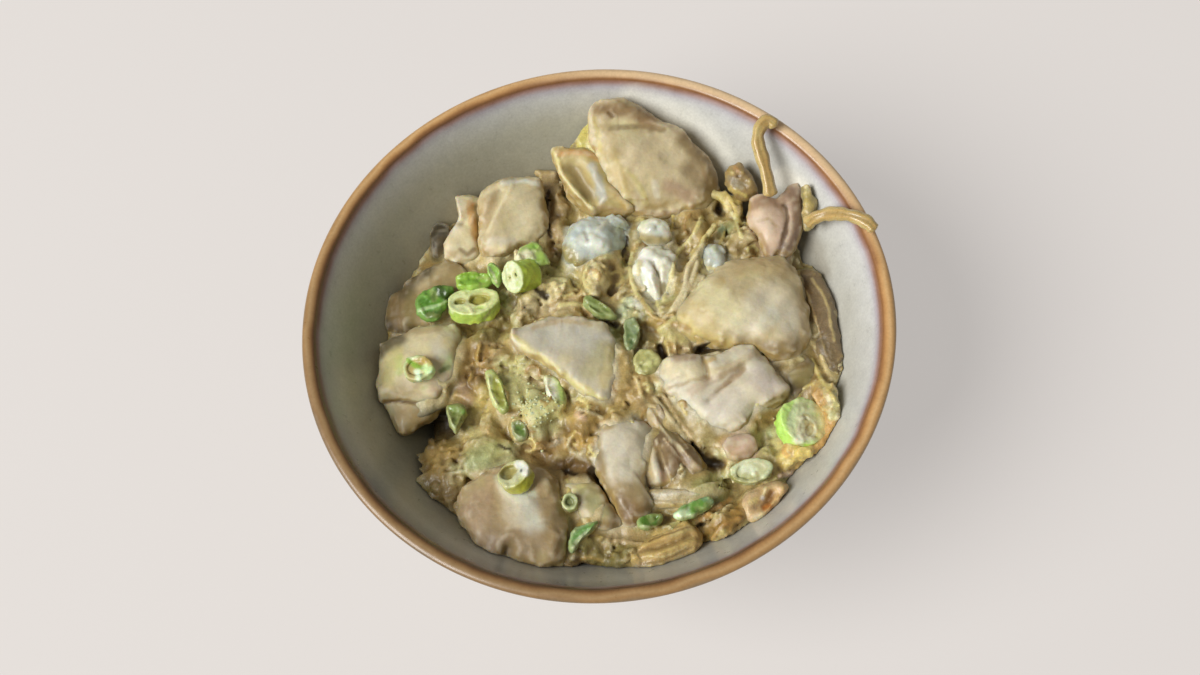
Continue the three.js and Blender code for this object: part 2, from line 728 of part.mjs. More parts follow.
function addFood(group, name, solidAt, colour, roughness, room) {
  const whole = room ? solidAt(0).intersect(room) : solidAt(0);
  addMesh(group, name, clearOfEarlier(whole, name), colour, roughness);
  cutters.push(solidAt(GAP));
}

function groupOf(pieces, solidAt, colourOf, roughness, room) {
  const group = new THREE.Group();
  for (const [name, piece] of Object.entries(pieces)) {
    addFood(group, name, (grow) => solidAt(piece, grow), colourOf(name), roughness, room);
  }
  return group;
}

const cavity = cavitySolid();
const dish = new THREE.Group();
addMesh(dish, "bowl", bowlSolid(), COLOURS.glaze, 0.35);
addFood(dish, "egg_bed", bedWithCurds, COLOURS.egg, 0.45);
const meatColour = (name) => (PINK_PIECES.includes(name) ? COLOURS.pinkMeat : COLOURS.chicken);
dish.add(groupOf(CHICKEN, lumpSolid, meatColour, 0.45, cavity));
dish.add(groupOf(EGG_WHITE, lumpSolid, () => COLOURS.eggWhite, 0.3, cavity));
dish.add(groupOf(EGG_FOLDS, lumpSolid, () => COLOURS.egg, 0.4, cavity));
dish.add(groupOf(RINGS, ringSolid, () => COLOURS.onionPale, 0.4, cavity));
dish.add(groupOf(LEAVES, lumpSolid, () => COLOURS.onionGreen, 0.4, cavity));
dish.add(groupOf(STRANDS, strandSolid, () => COLOURS.strand, 0.35));

export default dish;
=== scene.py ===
"""A stoneware bowl of simmered chicken and egg, dressed around its solids.

Shapes are worked out in millimetres in the frame's axes and become metres when a mesh is made. The surface of
each food is the zero level of a field of distances on a regular grid, in which lumps, curds and threads
blend. A pixel is a place on the photograph, across and down from its upper left corner."""

import itertools
import math

import bpy
import numpy as np
from mathutils import Euler, Matrix, Vector


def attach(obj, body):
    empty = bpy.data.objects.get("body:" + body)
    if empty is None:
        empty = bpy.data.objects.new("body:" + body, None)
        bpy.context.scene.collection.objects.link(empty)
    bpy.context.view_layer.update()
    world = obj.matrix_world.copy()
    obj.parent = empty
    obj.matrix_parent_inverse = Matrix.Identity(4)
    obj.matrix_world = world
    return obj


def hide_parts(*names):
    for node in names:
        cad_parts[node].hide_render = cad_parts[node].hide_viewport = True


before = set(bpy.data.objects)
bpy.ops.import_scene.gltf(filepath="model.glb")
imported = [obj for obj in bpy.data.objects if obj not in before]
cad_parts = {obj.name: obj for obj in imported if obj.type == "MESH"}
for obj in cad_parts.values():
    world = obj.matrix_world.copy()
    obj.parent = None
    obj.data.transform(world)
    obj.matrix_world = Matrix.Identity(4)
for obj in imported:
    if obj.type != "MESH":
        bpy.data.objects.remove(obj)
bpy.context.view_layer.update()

MM = 0.001

# Edges of the grid cells, in millimetres
BED_STEP = 0.56
MEAT_STEP = 0.5
WHITE_STEP = 0.4
FOLD_STEP = 0.36
SMALL_STEP = 0.28

# Driving dimensions of the bowl, in millimetres
RIM_RADIUS = 82.5
RIM_HEIGHT = 64
WALL = 3.6
BASE_THICKNESS = 5
FLOOR_HEIGHT = 8
FOOT_OUTER_RADIUS = 35
FOOT_INNER_RADIUS = 31
FOOT_RECESS = 2.6
BOWL_CURVE = 0.38
LIP_DROP = 0.8
INNER_RADIUS = RIM_RADIUS - WALL
BOWL_SEGMENTS = 288
BOWL_STEPS = 90
LIP_STEPS = 14

# Driving dimensions of the egg bed and of the blend between lumps, in millimetres
GAP = 0.4
LEVEL_AT_WALL = 40.5
LEVEL_TILT = (0.05, -0.045)
BED_CROWN = 5.5
BED_CROWN_RADIUS = 68
BED_RIPPLE = 0.9
BED_BOX = ((-79, -79, 6.5), (79, 79, 61))
WALL_CLEARANCE = 0.25
LOBE_BLEND = 2.6

# Driving dimensions of the strands of onion, in millimetres
STRAND_HALF_WIDTH = 1.85
STRAND_HALF_DEPTH = 1.2
STRAND_SIDES = 28

# How many small things are scattered on the bed
SMALL_CURDS = 420
SCATTERED_CRUMBS = 380
LOOSE_THREADS = 260

# The photograph's viewpoint, in pixels, degrees and millimetres
PHOTO_WIDTH = 1200
PHOTO_HEIGHT = 675
VIEW_ELEVATION = math.radians(64.21)
VIEW_ROLL = math.radians(-5.712)
VIEW_FOCAL_PIXELS = 1522.97
VIEW_TARGET = Vector((0.161, -7.658, RIM_HEIGHT))
VIEW_DISTANCE = 420
SENSOR_WIDTH = 36

# The studio's lights, in metres and watts, and how much of the palette's light the food gives back
KEY_DIRECTION = (-0.77, -0.3, 0.74)
KEY_DISTANCE = 4.0
KEY_SIZE = 2.8
KEY_POWER = 205
WORLD_LIGHT = 0.24
FLOOR_GLOW = 0.56
FOOD_SHADE = 0.86

view_back = Vector((0, -math.cos(VIEW_ELEVATION), math.sin(VIEW_ELEVATION)))
view_right = Matrix.Rotation(VIEW_ROLL, 3, view_back) @ Vector((1, 0, 0))
view_up = view_back.cross(view_right)
view_eye = VIEW_TARGET + view_back * VIEW_DISTANCE


def on_plane(pixels, height, slope=(0, 0), origin=(0, 0)):
    """The points where the rays of pixels meet the plane z = height + slope . (x - x0, y - y0)."""
    pixels = np.atleast_2d(np.asarray(pixels, float))
    eye, back, right, up = (np.array(v) for v in (view_eye, view_back, view_right, view_up))
    rays = (pixels[:, :1] - PHOTO_WIDTH / 2) * right + (PHOTO_HEIGHT / 2 - pixels[:, 1:]) * up
    rays = rays - VIEW_FOCAL_PIXELS * back
    above = eye[2] - height - slope[0] * (eye[0] - origin[0]) - slope[1] * (eye[1] - origin[1])
    fall = slope[0] * rays[:, 0] + slope[1] * rays[:, 1] - rays[:, 2]
    return eye + rays * (above / fall)[:, None]


# Random values

LATTICE = np.random.default_rng(11).uniform(-1, 1, 1 << 16).astype(np.float32)
PRIMES = (73856093, 19349663, 83492791)


def hashed(cells):
    """A lattice value's place for each cell of whole numbers."""
    x, y, z = np.moveaxis(cells, -1, 0)
    return x * PRIMES[0] ^ y * PRIMES[1] ^ z * PRIMES[2]


def noise(points, cell, seed=0):
    """Smooth random values from -1 to 1 that change over one cell, in millimetres."""
    scaled = points / cell + 17.3 * seed
    low = np.floor(scaled).astype(np.int64)
    part = (scaled - low).astype(np.float32)
    part = part**3 * (part * (part * 6 - 15) + 10)
    total = 0
    for corner in itertools.product((0, 1), repeat=3):
        weight = np.prod(np.where(corner, part, 1 - part), axis=-1)
        total = total + weight * LATTICE[hashed(low + corner) & 0xFFFF]
    return total


def rough(points, cell, seed=0, octaves=3):
    """Noise in octaves, each of half the cell and about half the strength."""
    return sum(noise(points, cell / 2**k, seed + 5 * k) * 0.55**k for k in range(octaves))


def to_nearest_seed(points, cell, seed=0):
    """The distance to the nearest of random points, one in each cell, in cells."""
    scaled = points / cell + 9.1 * seed
    low = np.floor(scaled).astype(np.int64)
    nearest = np.full(points.shape[:-1], 9.0, np.float32)
    for offset in itertools.product((-1, 0, 1), repeat=3):
        cells = low + offset
        place = hashed(cells)
        jitter = np.stack([LATTICE[(place + 7919 * k) & 0xFFFF] for k in range(3)], -1)
        away = cells + 0.5 + 0.45 * jitter - scaled
        nearest = np.minimum(nearest, np.sqrt((away**2).sum(-1)))
    return nearest


def eased(value, low, high):
    """0 below low, 1 above high, and smooth between them."""
    part = np.clip((value - low) / (high - low), 0, 1)
    return part * part * (3 - 2 * part)


# Curves and distances

def smooth_runs(before, here, after, later, steps):
    """Smooth curves from each of the points here to the one after it, in steps."""
    t = (np.arange(steps) / steps)[None, :, None]
    start, end = (after - before)[:, None] / 2, (later - here)[:, None] / 2
    curve = (2 * t**3 - 3 * t**2 + 1) * here[:, None] + (3 * t**2 - 2 * t**3) * after[:, None]
    curve += (t**3 - 2 * t**2 + t) * start + (t**3 - t**2) * end
    return curve.reshape(-1, here.shape[1])


def closed_curve(points, steps):
    """A smooth closed curve through points, with some steps from each to the next."""
    before, after, later = (np.roll(points, k, 0) for k in (1, -1, -2))
    return smooth_runs(before, points, after, later, steps)


def open_curve(points, steps):
    """A smooth curve from the first point to the last."""
    points = np.asarray(points, float)
    before_first, after_last = 2 * points[:1] - points[1:2], 2 * points[-1:] - points[-2:-1]
    padded = np.concatenate([before_first, points, after_last])
    curve = smooth_runs(padded[:-3], padded[1:-2], padded[2:-1], padded[3:], steps)
    return np.concatenate([curve, points[-1:]])


def to_path(points, path):
    """The distance from points to the nearest stretch of a path, in as many axes as the path has."""
    points = points[..., : path.shape[1]]
    if len(path) == 1:
        return np.sqrt(((points - path[0]) ** 2).sum(-1))
    nearest = np.full(points.shape[:-1], 1e9)
    for a, b in zip(path[:-1], path[1:]):
        run = b - a
        t = np.clip(((points - a) @ run) / max(run @ run, 1e-9), 0, 1)
        nearest = np.minimum(nearest, ((points - a - t[..., None] * run) ** 2).sum(-1))
    return np.sqrt(nearest)


def blend_min(a, b, width):
    """The smaller of two distances, rounded off where they are within a width of each other."""
    share = np.clip(0.5 + 0.5 * (b - a) / width, 0, 1)
    return b + (a - b) * share - width * share * (1 - share)


def box_round(path, margin):
    """The lowest and highest corners of a box round a path."""
    return path.min(0) - margin, path.max(0) + margin


def within(points, box):
    """Which points lie in a box."""
    return np.flatnonzero(((points > box[0]) & (points < box[1])).all(1))


def waves(x, y, z, seed):
    """A slow ripple over a lump."""
    return (
        np.sin(0.42 * x + 1.7 * seed) * np.cos(0.37 * y - seed)
        + 0.8 * np.sin(0.33 * y + 0.5 * z + 0.6 * seed)
        + 0.5 * np.sin(0.71 * x - 0.64 * y + 2.1 * seed)
    )


class Lobe:
    """A rounded lump: an outline on the photograph, laid on a sloping plane, with a rise above it and a sink
    below. A groove runs between two pixels on its top, with a width and a depth."""

    def __init__(self, outline, height, rise, sink, power=2.5, ripple=0.35, slope=(0, 0), grooves=()):
        outline = np.array(outline, float)
        self.height, self.rise, self.sink, self.slope = height, rise, sink, slope
        self.power, self.ripple = power, ripple
        self.centre = on_plane(outline.mean(0), height)[0]
        rim = on_plane(outline, height, slope, self.centre) - self.centre
        rim = closed_curve(rim[:, :2], 8)
        self.angles = np.arctan2(rim[:, 1], rim[:, 0])
        self.radii = np.hypot(rim[:, 0], rim[:, 1])
        self.grooves = [(self.on_top((a, b))[:, :2], width, depth) for a, b, width, depth in grooves]

    def on_top(self, pixels):
        """The points of the upper side that pixels show."""
        return on_plane(pixels, self.height + 0.85 * self.rise, self.slope, self.centre)

    def box(self, margin):
        """A box round the lump."""
        reach = self.radii.max()
        lift = reach * (abs(self.slope[0]) + abs(self.slope[1]))
        low = self.centre - (reach + margin, reach + margin, self.sink + lift + margin)
        high = self.centre + (reach + margin, reach + margin, self.rise + lift + margin)
        return low, high

    def outward(self, points):
        """How far out points lie: 0 at the middle and 1 at the outline."""
        x, y = (points - self.centre)[..., 0], (points - self.centre)[..., 1]
        return np.hypot(x, y) / np.interp(np.arctan2(y, x), self.angles, self.radii, period=2 * np.pi)

    def distance(self, points):
        """How far points lie outside the lump, about right near its surface."""
        x, y, z = np.moveaxis(points - self.centre.astype(np.float32), -1, 0)
        z = z - self.slope[0] * x - self.slope[1] * y
        reach = np.interp(np.arctan2(y, x), self.angles, self.radii, period=2 * np.pi)
        deep = np.where(z > 0, self.rise, self.sink)
        side = np.hypot(x, y) / reach
        up = np.abs(z) / deep
        fill = np.maximum((side**self.power + up**self.power) ** (1 / self.power), 0.1)
        steep = np.hypot(side ** (self.power - 1) / reach, up ** (self.power - 1) / deep)
        steep = np.maximum(steep * fill ** (1 - self.power), 0.5 / self.radii.max())
        distance = (fill - 1) / steep
        share = np.where(z > 0, up / np.maximum(np.hypot(side, up), 1e-3), 0)
        distance = distance - self.ripple * waves(x, y, z, self.rise + self.height) * share
        for path, width, depth in self.grooves:
            distance = distance + depth * np.exp(-((to_path(points, path) / width) ** 2)) * share
        return distance


class Field:
    """Distances to a surface on a regular grid, negative inside it."""

    def __init__(self, low, high, step):
        self.low, self.step = np.asarray(low, float), step
        counts = np.ceil((np.asarray(high) - self.low) / step).astype(int) + 1
        self.axes = [self.low[k] + step * np.arange(counts[k]) for k in range(3)]
        self.values = np.full(counts, 9.0, np.float32)

    def whole(self):
        """A box round all of the grid."""
        return self.low - 1, self.low + self.step * np.array(self.values.shape)

    def window(self, box):
        """The part of the grid within a box, and its points."""
        cut = tuple(
            slice(np.searchsorted(axis, low), np.searchsorted(axis, high))
            for axis, low, high in zip(self.axes, *box)
        )
        axes = [axis[part] for axis, part in zip(self.axes, cut)]
        return cut, np.stack(np.meshgrid(*axes, indexing="ij"), -1).astype(np.float32)

    def join(self, shape, box, width):
        """Adds a shape, blended in over a width."""
        cut, points = self.window(box)
        if points.size:
            self.values[cut] = blend_min(self.values[cut], shape(points), width)

    def carve(self, shape, box, width):
        """Takes a shape away, with edges rounded over a width."""
        cut, points = self.window(box)
        if points.size:
            self.values[cut] = -blend_min(-self.values[cut], shape(points), width)

    def roughen(self, relief, reach=1.8):
        """Moves the surface out by a relief, worked out only near it."""
        near = np.argwhere(np.abs(self.values) < reach)
        points = (self.low + near * self.step).astype(np.float32)
        self.values[tuple(near.T)] -= relief(points)

    def mesh(self):
        """The surface as vertices and quads: a vertex in each cell that it passes through, at the mean of the
        cell's edge crossings, and a quad round each crossed edge."""
        shape = self.values.shape
        cells, crossings = [], []
        for axis in range(3):
            ahead = np.moveaxis(self.values < 0, axis, 0)
            at = np.argwhere(np.moveaxis(ahead[:-1] != ahead[1:], 0, axis))
            beyond = at + np.eye(3, dtype=int)[axis]
            here, there = self.values[tuple(at.T)], self.values[tuple(beyond.T)]
            crossing = at.astype(float)
            crossing[:, axis] += here / (here - there)
            ring = []
            for across, along in ((1, 1), (0, 1), (0, 0), (1, 0)):
                cell = at.copy()
                cell[:, (axis + 1) % 3] -= across
                cell[:, (axis + 2) % 3] -= along
                ring.append(np.ravel_multi_index(cell.T, shape))
            ring = np.stack(ring, 1)
            ring[here > 0] = ring[here > 0, ::-1]
            cells.append(ring)
            crossings.append(np.repeat(crossing, 4, 0))
        cells, crossings = np.concatenate(cells), np.concatenate(crossings)
        _, index = np.unique(cells, return_inverse=True)
        index = index.reshape(-1, 4)
        share = np.bincount(index.ravel())
        vertices = np.stack([np.bincount(index.ravel(), crossings[:, k]) / share for k in range(3)], 1)
        vertices = self.low + vertices * self.step
        return 0.5 * vertices + 0.5 * neighbour_mean(index, vertices), index


def neighbour_mean(faces, values):
    """For each vertex, the mean of the values at the vertices that an edge joins to it."""
    ends = np.concatenate([faces, np.roll(faces, 1, 1)]).ravel()
    others = np.concatenate([np.roll(faces, 1, 1), faces]).ravel()
    share = np.bincount(ends, minlength=len(values))[:, None]
    return np.stack([np.bincount(ends, values[others, k]) for k in range(values.shape[1])], 1) / share


def normals_of(vertices, faces):
    """The direction straight out of the surface at each vertex."""
    a, b, c, d = (vertices[faces[:, k]] for k in range(4))
    across = np.cross(c - a, d - b)
    total = np.stack(
        [np.bincount(faces.ravel(), np.repeat(across[:, k], 4), len(vertices)) for k in range(3)], 1
    )
    return total / np.maximum(np.linalg.norm(total, axis=1), 1e-9)[:, None]


def hollowness(vertices, faces, spread):
    """How far each vertex lies below its surroundings, in millimetres: negative on a bump."""
    around = vertices
    for _ in range(spread):
        around = neighbour_mean(faces, around)
    return ((around - vertices) * normals_of(vertices, faces)).sum(1)


# The pieces' shapes: outlines in pixels, and heights, rises and sinks in millimetres

def leaf(outline, height):
    """A bit of leaf."""
    return Lobe(outline, height, rise=1.7, sink=2, power=2.3, ripple=0)


CHICKEN = {
    "chicken_centre": [
        Lobe(
            [(511, 334), (530, 325), (560, 319), (595, 322), (612, 332), (619, 360), (619, 382),
             (608, 402), (590, 400), (565, 381), (540, 363), (517, 350)],
            height=49.5, rise=4.2, sink=6, power=3.4, ripple=0.15, slope=(0.03, 0.1),
        ),
    ],
    "chicken_right": [
        Lobe(
            [(692, 294), (712, 275), (738, 262), (762, 259), (786, 263), (800, 284), (808, 315),
             (808, 340), (797, 360), (772, 362), (748, 350), (715, 349), (690, 344), (670, 330),
             (676, 312)],
            height=47.5, rise=9.5, sink=7, power=2.3, ripple=0.3, slope=(0.03, 0),
        ),
    ],
    "chicken_near_right": [
        Lobe(
            [(658, 378), (664, 363), (690, 357), (712, 356), (738, 347), (757, 350), (775, 372),
             (790, 394), (776, 408), (757, 416), (744, 434), (716, 439), (690, 424), (668, 396)],
            height=47, rise=7, sink=6, power=2.8, slope=(0.02, 0.05),
            grooves=[((709, 399), (743, 370), 2.2, 1.5), ((703, 360), (707, 378), 2, 1.2)],
        ),
    ],
    "chicken_near": [
        Lobe(
            [(604, 426), (622, 419), (642, 423), (655, 440), (648, 465), (646, 490), (654, 508),
             (640, 525), (622, 524), (612, 505), (600, 480), (594, 455), (596, 438)],
            height=46.5, rise=6, sink=6, power=2.5,
        ),
    ],
    "chicken_near_shred": [
        Lobe(
            [(652, 437), (668, 436), (690, 448), (706, 466), (700, 480), (678, 487), (655, 490),
             (646, 478), (648, 458)],
            height=46.6, rise=4.8, sink=6, power=2.4,
            grooves=[((660, 448), (668, 484), 1.2, 1.4), ((676, 446), (690, 478), 1.2, 1.2)],
        ),
        Lobe(
            [(638, 403), (650, 396), (664, 408), (680, 436), (690, 452), (670, 446), (652, 428)],
            height=46.5, rise=3, sink=4, power=2.2,
            grooves=[((648, 402), (676, 446), 1, 1.2)],
        ),
    ],
    "chicken_near_left": [
        Lobe(
            [(463, 489), (485, 477), (505, 468), (530, 467), (555, 482), (563, 505), (566, 535),
             (566, 560), (548, 570), (520, 566), (497, 561), (478, 551), (464, 530), (456, 508)],
            height=46.5, rise=7, sink=7, power=2.7, slope=(0, -0.08),
            grooves=[((509, 546), (502, 566), 1.4, 4), ((500, 500), (492, 540), 3, 0.8)],
        ),
    ],
    "chicken_near_small": [
        Lobe(
            [(566, 485), (585, 481), (600, 488), (612, 505), (622, 524), (605, 531), (588, 526),
             (578, 515), (570, 500)],
            height=46.4, rise=3.6, sink=5, power=2.4,
        ),
    ],
    "chicken_back": [
        Lobe(
            [(590, 112), (607, 101), (632, 105), (662, 121), (696, 146), (717, 176), (714, 199),
             (690, 212), (652, 215), (620, 205), (604, 180), (592, 146)],
            height=52, rise=6.5, sink=8, power=2.6, ripple=0.3, slope=(-0.08, 0.36),
            grooves=[((600, 122), (655, 130), 1.6, 0.9)],
        ),
    ],
    "chicken_back_fold": [
        Lobe(
            [(553, 152), (575, 150), (596, 157), (608, 180), (622, 200), (634, 213), (600, 215),
             (580, 207), (566, 190), (557, 170)],
            height=49.5, rise=4.4, sink=6, power=3, slope=(0.06, 0.24),
            grooves=[((574, 168), (592, 196), 2.2, 3)],
        ),
    ],
    "chicken_upper_left": [
        Lobe(
            [(479, 199), (500, 184), (520, 180), (541, 183), (546, 205), (547, 233), (538, 245),
             (519, 250), (506, 260), (490, 261), (481, 246), (480, 222)],
            height=45.5, rise=6.5, sink=7, power=3.2, ripple=0.2, slope=(0.02, 0.14),
            grooves=[((500, 192), (484, 230), 1.6, 1.2)],
        ),
    ],
    "chicken_upper_left_flap": [
        Lobe(
            [(455, 199), (468, 197), (480, 202), (485, 220), (480, 240), (478, 260), (462, 264),
             (447, 260), (444, 247), (453, 230), (459, 215)],
            height=43, rise=4.6, sink=6, power=2.4, slope=(-0.04, 0.1),
            grooves=[((462, 222), (476, 206), 1.4, 1.2)],
        ),
    ],
    "chicken_left_back": [
        Lobe(
            [(431, 229), (440, 224), (455, 234), (449, 248), (446, 262), (434, 263), (430, 246)],
            height=40, rise=2.6, sink=4, power=2.3, slope=(0.05, 0.3),
        ),
    ],
    "chicken_left_deep": [
        Lobe(
            [(446, 262), (425, 272), (405, 290), (384, 302), (382, 322), (396, 337), (420, 332),
             (446, 328), (462, 310), (470, 285), (462, 266)],
            height=40.5, rise=4.8, sink=7, power=2.5, slope=(0.1, 0.04),
        ),
    ],
    "chicken_left": [
        Lobe(
            [(400, 337), (425, 327), (452, 326), (462, 337), (462, 365), (452, 390), (435, 404),
             (410, 406), (385, 403), (377, 388), (376, 365), (383, 348)],
            height=43, rise=6.5, sink=8, power=2.5, slope=(0.08, 0),
        ),
        Lobe(
            [(391, 402), (400, 395), (425, 395), (440, 402), (436, 414), (418, 429), (405, 436),
             (396, 430)],
            height=41.5, rise=4, sink=5, power=2.3, slope=(0.06, 0),
        ),
    ],
    "chicken_rim": [
        Lobe(
            [(749, 202), (765, 197), (782, 202), (790, 220), (788, 240), (777, 259), (765, 258),
             (756, 238), (748, 222)],
            height=52, rise=4.8, sink=5, power=2.2, slope=(0, 0.2),
        ),
        Lobe(
            [(776, 199), (790, 187), (802, 189), (805, 210), (801, 232), (790, 256), (778, 260),
             (777, 236), (778, 215)],
            height=52, rise=4.2, sink=4, power=2.2, slope=(0.1, 0.2),
        ),
    ],
    "chicken_scrap": [
        Lobe(
            [(723, 445), (732, 437), (748, 436), (757, 447), (752, 460), (736, 461), (726, 456)],
            height=48, rise=2.8, sink=3, power=2.6,
        ),
    ],
    "chicken_right_low": [
        Lobe(
            [(779, 367), (800, 358), (816, 365), (818, 382), (806, 394), (790, 395)],
            height=46.5, rise=3, sink=4, power=2.6,
        ),
    ],
}

EGG_WHITE = {
    "egg_white_left": [
        Lobe(
            [(565, 238), (573, 224), (592, 220), (606, 226), (613, 245), (612, 260), (592, 264),
             (575, 270), (564, 258)],
            height=47, rise=6, sink=5, power=2.3,
        ),
        Lobe(
            [(603, 224), (618, 219), (628, 228), (626, 243), (615, 255), (606, 250)],
            height=46, rise=4.6, sink=4, power=2.3,
        ),
    ],
    "egg_white_top": [
        Lobe(
            [(638, 232), (642, 222), (655, 219), (667, 228), (671, 239), (658, 243), (644, 240)],
            height=48, rise=3.6, sink=4, power=2.3,
        ),
    ],
    "egg_white_middle": [
        Lobe(
            [(636, 262), (645, 250), (662, 249), (677, 260), (676, 280), (664, 303), (648, 300),
             (636, 285)],
            height=46.5, rise=4.6, sink=5, power=2.4,
            grooves=[((655, 262), (664, 298), 1.1, 1), ((644, 272), (652, 300), 1.1, 0.8)],
        ),
    ],
    "egg_white_right": [
        Lobe(
            [(703, 256), (710, 247), (722, 251), (727, 264), (719, 275), (707, 271)],
            height=48.5, rise=3.4, sink=4, power=2.2,
        ),
    ],
}

EGG_FOLDS = {
    "egg_fold_right": [
        Lobe(
            [(797, 277), (814, 274), (830, 292), (838, 325), (844, 365), (838, 380), (822, 365),
             (812, 340), (806, 308)],
            height=46.5, rise=3, sink=4, power=2.3, slope=(0.1, 0),
        ),
    ],
    "egg_fold_near": [
        Lobe(
            [(627, 560), (639, 546), (662, 533), (685, 524), (699, 530), (702, 545), (690, 558),
             (668, 566), (643, 570)],
            height=47.5, rise=3.8, sink=4, power=2.4, slope=(0, -0.12),
            grooves=[((640, 552), (690, 536), 1.6, 1.4), ((640, 562), (688, 550), 1.2, 0.9)],
        ),
    ],
    "egg_fold_near_right": [
        Lobe(
            [(744, 512), (746, 497), (760, 489), (775, 483), (787, 487), (778, 502), (768, 516),
             (755, 522)],
            height=49.5, rise=3.4, sink=4, power=2.3, slope=(0.08, -0.08),
            grooves=[((758, 506), (776, 492), 1.1, 1.4)],
        ),
    ],
    "egg_fold_strip": [
        Lobe(
            [(645, 493), (665, 489), (700, 492), (722, 482), (725, 490), (702, 503), (672, 508),
             (652, 505)],
            height=47.5, rise=2.2, sink=4, power=2.4,
        ),
    ],
    "egg_fold_far": [
        Lobe(
            [(724, 174), (731, 167), (740, 162), (746, 172), (757, 190), (746, 198), (728, 188)],
            height=52, rise=2.8, sink=4, power=2.3, slope=(0.1, 0.3),
        ),
    ],
}

LEAVES = {
    "onion_leaf_dark": leaf(
        [(415, 305), (423, 292), (440, 287), (452, 290), (446, 306), (438, 319), (424, 320)], 46.4,
    ),
    "onion_leaf_behind": leaf(
        [(456, 278), (470, 274), (490, 275), (492, 284), (475, 289), (458, 288)], 48.2,
    ),
    "onion_leaf_top": leaf(
        [(515, 256), (523, 247), (537, 243), (545, 254), (548, 264), (532, 266), (518, 264)], 50.6,
    ),
    "onion_leaf_sliver": leaf(
        [(487, 266), (494, 264), (501, 274), (498, 285), (490, 280)], 48.6,
    ),
    "onion_leaf_middle": leaf(
        [(486, 374), (496, 373), (504, 390), (509, 410), (502, 414), (492, 400)], 48.4,
    ),
    "onion_leaf_centre": leaf(
        [(545, 378), (556, 377), (565, 392), (564, 406), (555, 404), (547, 392)], 49.2,
    ),
    "onion_leaf_lower_left": leaf(
        [(446, 408), (458, 405), (467, 412), (462, 422), (456, 434), (450, 424)], 46.4,
    ),
    "onion_leaf_low": leaf(
        [(511, 424), (520, 421), (527, 430), (526, 440), (515, 438)], 48,
    ),
    "onion_leaf_heart": leaf(
        [(583, 298), (592, 298), (608, 308), (616, 318), (602, 319), (588, 310)], 50,
    ),
    "onion_leaf_dark_heart": leaf(
        [(625, 322), (636, 319), (641, 334), (634, 350), (626, 350), (624, 336)], 50.4,
    ),
    "onion_leaf_pale": leaf(
        [(634, 356), (648, 350), (660, 356), (658, 370), (644, 376), (634, 368)], 49.6,
    ),
    "onion_leaf_near": leaf(
        [(674, 514), (690, 503), (708, 497), (714, 504), (700, 514), (682, 520)], 50.4,
    ),
    "onion_leaf_near_small": leaf(
        [(638, 520), (650, 515), (662, 517), (656, 526), (642, 529)], 50,
    ),
    "onion_leaf_curl": leaf(
        [(568, 548), (572, 532), (586, 524), (598, 521), (594, 530), (582, 540), (574, 552)], 49.4,
    ),
}

CURDS = [
    Lobe(
        [(422, 437), (445, 437), (462, 444), (470, 462), (476, 485), (462, 500), (452, 515), (436, 504),
         (412, 485), (432, 472), (426, 458)],
        height=40.5, rise=3.4, sink=4, power=2.3, ripple=0.5,
    ),
    Lobe(
        [(464, 447), (480, 438), (505, 440), (515, 452), (503, 462), (498, 476), (480, 480), (466, 474)],
        height=44.5, rise=3.2, sink=4, power=2.4, ripple=0.3,
    ),
    Lobe(
        [(815, 384), (826, 384), (836, 400), (840, 418), (830, 412), (819, 402)],
        height=49.5, rise=2.4, sink=5, power=2.2, ripple=0.3,
    ),
    Lobe(
        [(713, 539), (717, 520), (729, 505), (745, 511), (742, 525), (726, 538)],
        height=48, rise=2.4, sink=4, power=2.3, ripple=0.3, slope=(0, -0.1),
    ),
]

RINGS = {
    "onion_ring_big": dict(
        pixel=(474, 306), height=47.6, outer=7.4, length=4.8, turn=(-20, 0, 0), squeeze=0.8,
        holes=[(-3.9, 0.2, 1.3), (1.9, 0.6, 2.7)], depth=1.4,
    ),
    "onion_ring_upper": dict(
        pixel=(522, 276), height=50.4, outer=4.7, length=8, turn=(0, -53, 24), squeeze=1,
        holes=[(-1.2, 0.6, 0.7), (1.5, -0.4, 0.8)],
    ),
    "onion_ring_standing": dict(
        pixel=(516, 477), height=53.8, outer=4.7, length=4.4, turn=(-16, -18, 0), squeeze=0.96,
        holes=[(-1.5, 0.7, 2.3)], depth=1.5,
    ),
    "onion_ring_small": dict(
        pixel=(570, 503), height=50, outer=2.2, length=4, turn=(8, 0, 0), squeeze=1.1,
        holes=[(0, 0.1, 1.1)], depth=1.2,
    ),
    "onion_ring_right": dict(
        pixel=(802, 424), height=50.8, outer=7.2, length=5, turn=(0, 20, 0), squeeze=0.98,
        holes=[(0.2, 0.9, 0.7), (1.3, -3, 1.7)], depth=0.7,
    ),
    "onion_ring_near_right": dict(
        pixel=(751, 472), height=50.6, outer=6, length=3, turn=(0, 0, 6), squeeze=0.56,
        holes=[(0, 0.2, 3.8)], depth=0.5,
    ),
    "onion_ring_left": dict(
        pixel=(418, 369), height=51.4, outer=4.7, length=2.4, turn=(0, -10, -20), squeeze=0.8,
        holes=[(0, 0, 3)], depth=0.9,
    ),
}

# Two strands of simmered onion that climb from the pink piece to the rim and bend over it: pixels and heights
STRANDS = {
    "onion_strand_far": [
        ((771, 197), 57.5), ((768, 180), 60), ((763, 160), 62.8), ((758, 142), 65), ((760, 128), 66.6),
        ((768, 121), 67.3), ((777, 126), 66.9),
    ],
    "onion_strand_side": [
        ((806, 224), 57), ((815, 218), 60), ((828, 214), 62.6), ((842, 214), 65.4), ((856, 217), 67.2),
        ((868, 223), 67.4), ((875, 231), 66.8),
    ],
}

